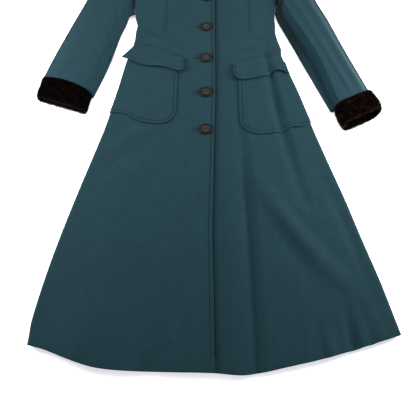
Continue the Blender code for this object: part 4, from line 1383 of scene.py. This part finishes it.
# each line darkens the wool in its groove, as painted shade
GROOVES = {
    "wool_skirt_front_right": [thin["front_edge"]],
    "wool_bodice_front_right": [thin["front_edge"], thin["princess_right"]],
    "wool_bodice_front_left": [thin["princess_left"], thin["under_lap_shadow_line"]],
    "wool_skirt_front_left": [thin["under_lap_shadow_line"]],
    "wool_pocket_right": [plan_lines["pocket_right"][::2]],
    "wool_pocket_left": [plan_lines["pocket_left"][::2]],
    "wool_flap_right": flap_grooves["right"],
    "wool_flap_left": flap_grooves["left"],
}
for name, piece in list(pieces.items()):
    if name.startswith("wool_"):
        store_gap(name, GROOVES.get(name, []))

# %% [markdown]
# ## Buttons and buttonholes
# The buttons are turned from dark horn: a raised rim round a dished face with four holes, sewn on
# with dark thread. The dish of the face is painted paler than the rim and the middle, as painted
# light and shade. The buttonholes lie across the front, and their outer ends show beside the
# buttons. Purl stitches close round the slit.

# %% Turned horn
HORN_DARK = "#050607"
HORN_LIGHT = "#0b0b0c"
FACE_DARK = "#1b1615"
FACE_LIGHT = "#2e2625"


def turned_horn():
    made, tree, shader = new_material("turned_dark_horn", 0.5, 0.1)
    place = add_node(tree, "ShaderNodeTexCoord")
    streak = add_node(
        tree,
        "ShaderNodeTexNoise",
        {"Vector": (place, "Object"), "Scale": 160.0, "Detail": 3.0, "Distortion": 1.5},
    )
    rim = blend_colours(tree, (streak, "Fac"), HORN_DARK, HORN_LIGHT)
    face = blend_colours(tree, (streak, "Fac"), FACE_DARK, FACE_LIGHT)
    # painted light and shade: the dish of the face is paler than the rim and the middle
    dish = add_node(tree, "ShaderNodeAttribute", attribute_name="dish")
    sides = {"Fac": (dish, "Fac"), "Color1": (rim, "Color"), "Color2": (face, "Color")}
    tone = add_node(tree, "ShaderNodeMixRGB", sides)
    tree.links.new(tone.outputs["Color"], shader.inputs["Base Color"])
    scratch = add_node(
        tree, "ShaderNodeTexNoise", {"Vector": (place, "Object"), "Scale": 900.0, "Detail": 2.0}
    )
    bump = add_node(
        tree, "ShaderNodeBump", {"Height": (scratch, "Fac"), "Strength": 0.15, "Distance": 0.0003}
    )
    tree.links.new(bump.outputs["Normal"], shader.inputs["Normal"])
    return made


HORN = turned_horn()

# %% Buttons
# radius and height of the turned profile, from the centre of the face to the centre of the back
BUTTON_PROFILE = (
    (0.0, 2.3),
    (4.0, 2.3),
    (7.6, 2.5),
    (9.2, 2.9),
    (10.3, 3.9),
    (11.4, 4.35),
    (12.8, 4.4),
    (14.0, 4.0),
    (14.8, 3.1),
    (15.0, 2.2),
    (14.5, 1.2),
    (12.0, 0.0),
    (0.0, 0.0),
)
BUTTON_STEPS = 64
HOLE_RADIUS = 1.15
HOLE_OFFSET = 2.5
DRILL_STEPS = 16
DRILL_REACH = (-2.0, 6.0)  # from below the button to above it
FACE_EDGE = (7.4, 1.6)  # radius where the painted light of the face ends, and over what width it turns to the darker rim
FACE_MIDDLE = (1.0, 3.0)  # the same at its middle, which is painted dark


def button_seat(y):
    """The outer skin under a button, on the lapping front or on the collar."""
    if y < FRONT_NECK_Y:
        return surface_at(front_height, BUTTON_X, y)
    rise = COLLAR_OPEN - FLAT_TOP
    up_collar = (y - FRONT_NECK_Y - 2 * SEAM) / COLLAR_FRONT_RUN
    return np.array((BUTTON_X, y, FLAT_TOP + rise * up_collar)), unit(np.array((0, -rise, COLLAR_FRONT_RUN)))


def turned_disc():
    """Vertices and faces of one button around its own axis."""
    angles = np.arange(BUTTON_STEPS) * 2 * math.pi / BUTTON_STEPS
    vertices = [(0.0, 0.0, BUTTON_PROFILE[0][1])]
    for radius, height in BUTTON_PROFILE[1:-1]:
        vertices += [(radius * math.cos(a), radius * math.sin(a), height) for a in angles]
    vertices.append((0.0, 0.0, BUTTON_PROFILE[-1][1]))
    faces = []
    last = len(vertices) - 1
    for k in range(BUTTON_STEPS):
        n = (k + 1) % BUTTON_STEPS
        faces.append((0, 1 + k, 1 + n))
        for r in range(len(BUTTON_PROFILE) - 3):
            a, b = 1 + r * BUTTON_STEPS, 1 + (r + 1) * BUTTON_STEPS
            faces.append((a + k, b + k, b + n, a + n))
        ring_start = 1 + (len(BUTTON_PROFILE) - 3) * BUTTON_STEPS
        faces.append((last, ring_start + n, ring_start + k))
    return vertices, faces


def drill():
    """Four rods that cut the holes of a button."""
    vertices, faces = [], []
    steps = DRILL_STEPS
    for sx, sy in ((1, 1), (1, -1), (-1, 1), (-1, -1)):
        base = len(vertices)
        for z in DRILL_REACH:
            for k in range(steps):
                a = 2 * math.pi * k / steps
                x = sx * HOLE_OFFSET + HOLE_RADIUS * math.cos(a)
                vertices.append((x, sy * HOLE_OFFSET + HOLE_RADIUS * math.sin(a), z))
        for k in range(steps):
            n = (k + 1) % steps
            faces.append((base + k, base + n, base + steps + n, base + steps + k))
        faces.append(tuple(base + k for k in reversed(range(steps))))
        faces.append(tuple(base + steps + k for k in range(steps)))
    return vertices, faces


def plain_mesh(name, vertices, faces):
    mesh = bpy.data.meshes.new(name)
    mesh.from_pydata([Vector(v) * MM for v in vertices], [], faces)
    return mesh


disc_object = new_object("disc", plain_mesh("disc", *turned_disc()))
drill_object = new_object("drill", plain_mesh("drill", *drill()))
cut = disc_object.modifiers.new("holes", "BOOLEAN")
cut.operation = "DIFFERENCE"
cut.solver = "EXACT"
cut.object = drill_object
bpy.context.view_layer.update()
finished_disc = disc_object.evaluated_get(bpy.context.evaluated_depsgraph_get())
button_mesh = bpy.data.meshes.new_from_object(finished_disc)
for made in (disc_object, drill_object):
    bpy.data.objects.remove(made)
button_mesh.materials.clear()
button_mesh.materials.append(HORN)
button_mesh.shade_smooth()
radii = np.array([math.hypot(point.co.x, point.co.y) / MM for point in button_mesh.vertices])
inside_edge = 1 - ease((radii - FACE_EDGE[0]) / FACE_EDGE[1])
# painted light on the dish of the face, painted shade on the rim and the middle
store_values(button_mesh, "dish", inside_edge * ease((radii - FACE_MIDDLE[0]) / FACE_MIDDLE[1]))
button_mesh.set_sharp_from_angle(angle=math.radians(40))
print("a button has", len(button_mesh.polygons), "faces")


THREAD_RADIUS = 0.45
STRAND_OFFSET = 0.55  # each bar is two strands, this far from its middle
THREAD_FOOT = 1.6  # height where the thread enters a hole
THREAD_ARCH = 1.3  # and how far it arches above that
THREAD_STEPS = 6


def thread_cross(seat):
    """Two crossed bars of thread through the four holes."""
    steps = THREAD_STEPS
    vertices, faces = [], []
    for sx, sy in ((1, 1), (1, -1)):
        start = np.array((-HOLE_OFFSET * sx, -HOLE_OFFSET * sy, THREAD_FOOT))
        end = -start * (1, 1, -1)
        across = unit(np.array((-sy, sx, 0.0))) * STRAND_OFFSET
        for strand in (-1, 1):
            base = len(vertices)
            for t in even(steps):
                centre = start + (end - start) * t + (0, 0, THREAD_ARCH * math.sin(math.pi * t) ** 0.5)
                for k in range(steps):
                    a = 2 * math.pi * k / steps
                    ring_point = centre + across * strand + unit(across) * THREAD_RADIUS * math.cos(a)
                    vertices.append(ring_point + (0, 0, THREAD_RADIUS * math.sin(a)))
            for r in range(steps):
                for k in range(steps):
                    n = (k + 1) % steps
                    a = base + r * steps
                    faces.append((a + k, a + n, a + steps + n, a + steps + k))
    return [seat @ (Vector(v) * MM) for v in vertices], faces


for number in range(BUTTON_COUNT):
    place, facing = button_seat(LOWEST_BUTTON_Y + number * BUTTON_PITCH)
    turn = Vector(facing).to_track_quat("Z", "Y").to_matrix().to_4x4()
    seat = Matrix.Translation(Vector(in_frame(place + facing * BUTTON_GAP))) @ turn
    mesh = button_mesh.copy()
    mesh.transform(seat)
    pieces[f"horn_button_{number + 1}"] = new_object(f"horn_button_{number + 1}", mesh)
    vertices, faces = thread_cross(seat)
    mesh = bpy.data.meshes.new("thread")
    mesh.from_pydata(vertices, [], faces)
    mesh.materials.append(DARK_THREAD)
    mesh.shade_smooth()
    pieces[f"button_thread_{number + 1}"] = new_object(f"button_thread_{number + 1}", mesh)

# %% Buttonholes
HOLE_START_X, HOLE_END_X = -37.0, -3.0
PURL_WIDTH = 1.5
PURL_PITCH = 0.9
PURL_HALF_THREAD = 0.42
SLIT_HALF = 0.35
# a purl stitch arches over the edge of the slit: share across it and height
PURL_ARCH = ((-1, 0.1), (-0.4, 0.75), (0.4, 0.75), (1, 0.1))


def buttonhole(number):
    """A slit with purl stitches all round it."""
    y = LOWEST_BUTTON_Y + number * BUTTON_PITCH
    half = PURL_WIDTH / 2 + SLIT_HALF
    run = np.arange(HOLE_START_X, HOLE_END_X, PURL_PITCH)
    spots = np.concatenate(
        [
            np.stack([run, np.full(len(run), y + half)], -1),
            np.stack([run, np.full(len(run), y - half)], -1),
        ]
    )
    turns = np.linspace(math.pi / 2, 3 * math.pi / 2, 7)[1:-1]
    round_end = np.stack([HOLE_START_X + half * np.cos(turns), y + half * np.sin(turns)], -1)
    spots = np.concatenate([spots, round_end])
    ways = np.concatenate([np.tile((0, 1), (2 * len(run), 1)), np.stack([np.cos(turns), np.sin(turns)], -1)])
    if y < FRONT_NECK_Y:
        places, normals = surface_at(front_height, spots[:, 0], spots[:, 1])
    else:
        seat, facing = button_seat(y)
        slope = (COLLAR_OPEN - FLAT_TOP) / COLLAR_FRONT_RUN
        places = np.stack([spots[:, 0], spots[:, 1], seat[2] + (spots[:, 1] - y) * slope], -1)
        normals = np.tile(facing, (len(spots), 1))
    vertices, faces = [], []
    for k in range(len(places)):
        way = unit(np.append(ways[k], 0.0) - normals[k] * (normals[k][:2] @ ways[k]))
        side_way = np.cross(normals[k], way)
        base = len(vertices)
        for t, lift in PURL_ARCH:
            middle = places[k] + way * t * PURL_WIDTH / 2 + normals[k] * lift
            vertices += [middle - side_way * PURL_HALF_THREAD, middle + side_way * PURL_HALF_THREAD]
        faces += [(base + 2 * r, base + 2 * r + 1, base + 2 * r + 3, base + 2 * r + 2) for r in range(3)]
        faces.append((base, base + 6, base + 7, base + 1))
    return add_piece(f"buttonhole_{number + 1}", np.array(vertices), faces, DARK_THREAD, 60)


for number in range(BUTTON_COUNT):
    buttonhole(number)

# %% [markdown]
# ## Fur cuffs
# Each cuff is a broad band of fur round the end of the sleeve. The ground is a soft thick ring, a
# little lower than the finished pile, and short hairs fill the rest. The hairs lean towards the
# hand and part slightly in tufts. A second, shorter set of paler hairs covers the cut end.

# %% Ground of the cuffs
HAIR_LENGTH = 6.2
HAIR_WIDTH = 0.5
HAIRS = {"right": 30000, "left": 26000}
GROUND_SINK = 3.4  # the ground lies this far under the tips
GROUND_SET_BACK = 1.5  # and its mouth this far behind theirs
ROOT_SINK = 0.6  # hairs start this deep in the ground
HAIR_ROWS = 90
HAIR_BEND = 0.55  # share of a hair's length where it bends
FLOOR_GAP = 0.3  # hairs stay this far above the floor
TUFT_LEAN = 0.24
FUR_TONES_AND_PAINTED_LIGHT = {"right": (0.22, 0.85), "left": (0.62, 0.7)}  # how pale the pile and the rim are, from 0 to 1; the two cuffs are the same fur, so their different values are painted light and shade
RIM_HAIRS = 5200
RIM_HAIR_LENGTH = 3.6


def stadium(half_width, height, span, turn):
    """A ring of points round a flattened tube on z = 0, with outward directions."""
    radius = height / 2
    flat = half_width - radius
    places, normals = [], []
    for sign, first_angle in ((1, -90), (-1, 90)):
        for share in even(span)[:-1]:
            places.append((sign * flat * (2 * share - 1), 0 if sign > 0 else height))
            normals.append((0, -sign))
        for share in even(turn)[:-1]:
            angle = math.radians(first_angle + 180 * share)
            places.append((sign * flat + radius * math.cos(angle), radius + radius * math.sin(angle)))
            normals.append((math.cos(angle), math.sin(angle)))
    return np.array(places), np.array(normals)


def cuff_skin(side, t, depth, span=40, turn=16):
    """A ring of the cuff at a share of its length, sunk below its finished surface by a depth."""
    sizes = CUFFS[side["name"]]
    last = np.array(SLEEVES[side["name"]][-1], float)
    across, along = sleeve_end_axes(side)
    middle = (last[:2] + last[2:4]) / 2
    sleeve_half = np.linalg.norm(last[2:4] - last[:2]) / 2
    rounding = MOUTH_ROUNDING * ease((t - 0.75) / 0.25)
    height = sizes["height"] + (sizes["mouth"] - sizes["height"]) * t
    half_width = sleeve_half + sizes["proud"] - sizes["start_in"] * (1 - ease(t / 0.5)) - rounding
    section, normals = stadium(half_width, height - rounding, span, turn)
    s, z = section[:, 0], section[:, 1]
    lift = sizes["bulge"] * np.maximum(0, 1 - (s / sleeve_half) ** 2) * ease(z / sizes["height"])
    length = sizes["length"] + sizes["slant"] * s - sizes["rake"] * z / height
    distance = (SEAM - lift) + (length - SEAM + lift) * t
    plan = middle + across * (s - normals[:, 0] * depth)[:, None] + along * distance[:, None]
    places = np.column_stack([plan, z - normals[:, 1] * depth])
    facing = np.column_stack([across * normals[:, :1], normals[:, 1]])
    return places, facing


for side in (RIGHT, LEFT):
    shares = even(22)
    outer = np.array([cuff_skin(side, t, GROUND_SINK)[0] for t in shares])
    inner = np.array([cuff_skin(side, t, FUR)[0] for t in shares])
    facing = np.array([cuff_skin(side, t, 0)[1] for t in shares])
    outer[-1] -= np.append(sleeve_end_axes(side)[1], 0) * GROUND_SET_BACK
    rows, columns, _ = outer.shape
    vertices = np.concatenate([outer.reshape(-1, 3), inner.reshape(-1, 3)])
    faces = wall_faces(rows, columns, True)
    if signed_volume(vertices, faces) < 0:
        faces = faces[:, ::-1]
    piece = add_piece(f"fur_ground_{side['name']}", vertices, faces.tolist(), FUR_GROUND, 60)
    bevel = piece.modifiers.new("soft rim", "BEVEL")
    bevel.width = 2.0 * MM
    bevel.segments = 3
    bevel.limit_method = "ANGLE"
    bevel.angle_limit = math.radians(60)
    surfaces[f"fur_cuff_{side['name']}"] = np.array([cuff_skin(side, t, 0)[0] for t in shares])


# %% Hairs
def tuft_lean(points):
    """Sideways lean of the hairs, which makes them part in tufts."""
    x, y, z = (points[:, k] for k in range(3))
    first = np.sin(x / 3.1 + 2 * np.sin(y / 5.3)) + np.sin(z / 2.7 + x / 6.1)
    second = np.sin(y / 2.9 + 2 * np.sin(x / 4.7)) + np.sin(z / 3.3 - y / 5.9)
    return np.stack([first, second, np.sin(x / 4.1 + y / 3.7)], axis=-1) * TUFT_LEAN


def rim_hairs(side, random):
    """Short paler hairs on the cut end of the cuff, round its mouth."""
    rings = [cuff_skin(side, 1.0, depth, 80, 30) for depth in (0.8, FUR)]
    columns = len(rings[0][0])
    place, depth = random.uniform(0, columns, RIM_HAIRS), random.uniform(0, 1, RIM_HAIRS)[:, None]
    c = place.astype(int) % columns
    n, share = (c + 1) % columns, (place - place.astype(int))[:, None]
    edges = [ring[c] * (1 - share) + ring[n] * share for ring, _ in rings]
    hand = np.append(sleeve_end_axes(side)[1], 0.0)
    root = edges[0] * (1 - depth) + edges[1] * depth - hand * RIM_HAIR_LENGTH
    way = unit(hand + random.normal(0, 0.3, (RIM_HAIRS, 3)))
    length = RIM_HAIR_LENGTH * random.uniform(0.7, 1.0, RIM_HAIRS)[:, None]
    across = unit(np.cross(way, random.normal(0, 1, (RIM_HAIRS, 3)))) * HAIR_WIDTH / 2
    middle, tip = root + way * length * HAIR_BEND, root + way * length
    for points in (root, middle, tip):
        points[:, 2] = np.maximum(points[:, 2], FLOOR_GAP)
    return root, middle, tip, across


def hairs(side, seed):
    """The pile of a cuff and the hairs round its mouth, as one piece."""
    random = np.random.default_rng(seed)
    count = HAIRS[side["name"]]
    rings = HAIR_ROWS
    shares = even(rings)
    skin = np.array([cuff_skin(side, t, GROUND_SINK + ROOT_SINK, 80, 30)[0] for t in shares])
    facing = np.array([cuff_skin(side, t, 0, 80, 30)[1] for t in shares])
    columns = skin.shape[1]
    row, column = random.uniform(0, rings, count), random.uniform(0, columns, count)
    r, c = np.minimum(row.astype(int), rings - 1), column.astype(int) % columns
    fr, fc = (row - r)[:, None], (column - column.astype(int))[:, None]
    n = (c + 1) % columns
    near_row = skin[r, c] * (1 - fc) + skin[r, n] * fc
    far_row = skin[r + 1, c] * (1 - fc) + skin[r + 1, n] * fc
    root = near_row * (1 - fr) + far_row * fr
    out = unit(facing[r, c] * (1 - fc) + facing[r, n] * fc)
    hand = np.append(sleeve_end_axes(side)[1], 0.0)
    at_mouth = ease((row / rings - 0.93) / 0.07)[:, None]
    way = unit(out * (1 - 0.6 * at_mouth) + hand * (0.28 + 0.5 * at_mouth) + tuft_lean(root))
    way = unit(way + random.normal(0, 0.16, (count, 3)))
    length = HAIR_LENGTH * random.uniform(0.72, 1.0, count)[:, None]
    across = unit(np.cross(way, random.normal(0, 1, (count, 3)))) * HAIR_WIDTH / 2
    bend = unit(way + hand * 0.3)
    middle = root + way * length * HAIR_BEND
    tip = middle + bend * length * (1 - HAIR_BEND)
    for points in (root, middle, tip):
        points[:, 2] = np.maximum(points[:, 2], FLOOR_GAP)
    rim_root, rim_middle, rim_tip, rim_across = rim_hairs(side, random)
    root, middle = np.concatenate([root, rim_root]), np.concatenate([middle, rim_middle])
    tip, across = np.concatenate([tip, rim_tip]), np.concatenate([across, rim_across])
    narrower = across * 0.7
    vertices = np.stack([root - across, root + across, middle + narrower, middle - narrower, tip], axis=1)
    base = np.arange(len(root))[:, None] * 5
    quads = (base + [0, 1, 2, 3]).tolist()
    tips = (base + [3, 2, 4]).tolist()
    piece = add_piece(f"fur_pile_{side['name']}", vertices.reshape(-1, 3), quads + tips, FUR_HAIR, 180)
    x, y, z = root[: len(row)].T
    patches = 0.5 + 0.5 * np.sin(x / 8.3 + 2.2 * np.sin(y / 10.7)) * np.sin(y / 7.1 + 1.7 * np.sin(x / 13.0))
    # painted light and shade: the same fur gets a different tint on each cuff
    pile_glow, rim_glow = FUR_TONES_AND_PAINTED_LIGHT[side["name"]]
    pile_tips = pile_glow * (0.1 + 0.9 * patches**1.5) * random.uniform(0.4, 1.0, len(row))
    tips = np.concatenate([pile_tips, rim_glow * random.uniform(0.2, 1.0, len(rim_root))])
    heights = np.array((0, 0, 0.45, 0.45, 1))
    store_values(piece.data, "hair_tint", (tips[:, None] * heights).ravel())
    return piece


for seed, side in enumerate((RIGHT, LEFT)):
    piece = hairs(side, 11 + seed)
    print(piece.name, len(piece.data.polygons), "faces")

# %% [markdown]
# ## Floor and light
# The floor is plain pale paper. It glows a little, so that it comes out white. Two low broad lamps
# beside the skirt give most of the light and bring out the creases. One past the collar, one right
# above and a weak one past the hem soften their shade. A light shadow stays below the hem.

# %% Floor
FLOOR_COLOUR = "#fbfbfc"
GLOW_COLOUR = "#f6f4fb"
FLOOR_GLOW = 0.5
FLOOR_SIZE = 30.0  # metres
FLOOR_Z = -0.0005  # metres

floor_mesh = bpy.data.meshes.new("floor")
reach = FLOOR_SIZE / 2
corners = [(x * reach, y * reach, FLOOR_Z) for x, y in ((-1, -1), (1, -1), (1, 1), (-1, 1))]
floor_mesh.from_pydata(corners, [], [(0, 1, 2, 3)])
floor_material, _, floor_shader = new_material("matt_white_paper", 0.9, 0.1)
floor_shader.inputs["Base Color"].default_value = to_linear(FLOOR_COLOUR)
floor_shader.inputs["Emission Color"].default_value = to_linear(GLOW_COLOUR)
floor_shader.inputs["Emission Strength"].default_value = FLOOR_GLOW
floor_mesh.materials.append(floor_material)
floor = new_object("floor", floor_mesh)

# %% Lamps
# name, place in metres from the middle of the waist seam, side of the square lamp in metres, watts
LAMPS = (
    ("lamp_left", (-1.0, -0.2, 0.45), 0.5, 25.0),
    ("lamp_right", (1.0, -0.2, 0.45), 0.5, 29.5),
    ("lamp_collar", (0.0, 0.6, 0.75), 0.5, 6.0),
    ("lamp_above", (0.0, -0.2, 1.0), 0.6, 4.0),
    ("lamp_hem", (0.0, -1.25, 0.5), 0.5, 1.0),
)
SKY_STRENGTH = 0.25
lit_point = Vector(in_frame((0, -250, 0)))  # all lamps face this point of the skirt
for name, spot, size, watts in LAMPS:
    data = bpy.data.lights.new(name, "AREA")
    data.shape = "SQUARE"
    data.size = size
    data.energy = watts
    lamp = new_object(name, data)
    lamp.location = Vector(in_frame((0, 0, 0))) + Vector(spot)
    lamp.rotation_euler = (lamp.location - lit_point).to_track_quat("Z", "Y").to_euler()
world = bpy.data.worlds.new("soft room")
world.use_nodes = True
world.node_tree.nodes["Background"].inputs["Color"].default_value = to_linear("#ffffff")
world.node_tree.nodes["Background"].inputs["Strength"].default_value = SKY_STRENGTH
bpy.context.scene.world = world
bpy.context.scene.view_settings.view_transform = "Standard"

# %% [markdown]
# ## Hand the pieces to the frame
# Every piece rides on the one body. Cloth panels, the ground of the cuffs and the buttons also stand
# for their plain solids. Cloth panels state the size that they were cut to, which is measured along
# their outer skin.


# %% Cloth sizes and the hand-over
def cut_size(places, ring=False):
    """Width, length and area of a panel's cut in metres, along its outer skin."""
    grid = np.concatenate([places, places[:, :1]], axis=1) if ring else places
    widths = np.linalg.norm(np.diff(grid, axis=1), axis=-1).sum(axis=1)
    lengths = np.linalg.norm(np.diff(grid, axis=0), axis=-1).sum(axis=0)
    across, down = grid[:-1, 1:] - grid[:-1, :-1], grid[1:, :-1] - grid[:-1, :-1]
    far_across, far_down = grid[1:, 1:] - grid[1:, :-1], grid[1:, 1:] - grid[:-1, 1:]
    area = np.linalg.norm(np.cross(across, down), axis=-1).sum() / 2
    area += np.linalg.norm(np.cross(far_across, far_down), axis=-1).sum() / 2
    return widths.max() * MM, lengths.max() * MM, area * MM * MM


for node, places in surfaces.items():
    if node.startswith("fur"):
        continue
    kind, _, side_name = node.rpartition("_")
    width, length, area = cut_size(places)
    piece = pieces[f"wool_{node}"]
    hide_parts(node)
    print(node, "cut", round(width, 3), "x", round(length, 3), "m,", round(area, 4), "square metres")
for side_name in ("right", "left"):
    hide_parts(f"fur_cuff_{side_name}")
for number in range(BUTTON_COUNT):
    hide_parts(f"button_{number + 1}")
for name, piece in pieces.items():
    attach(piece, "root")
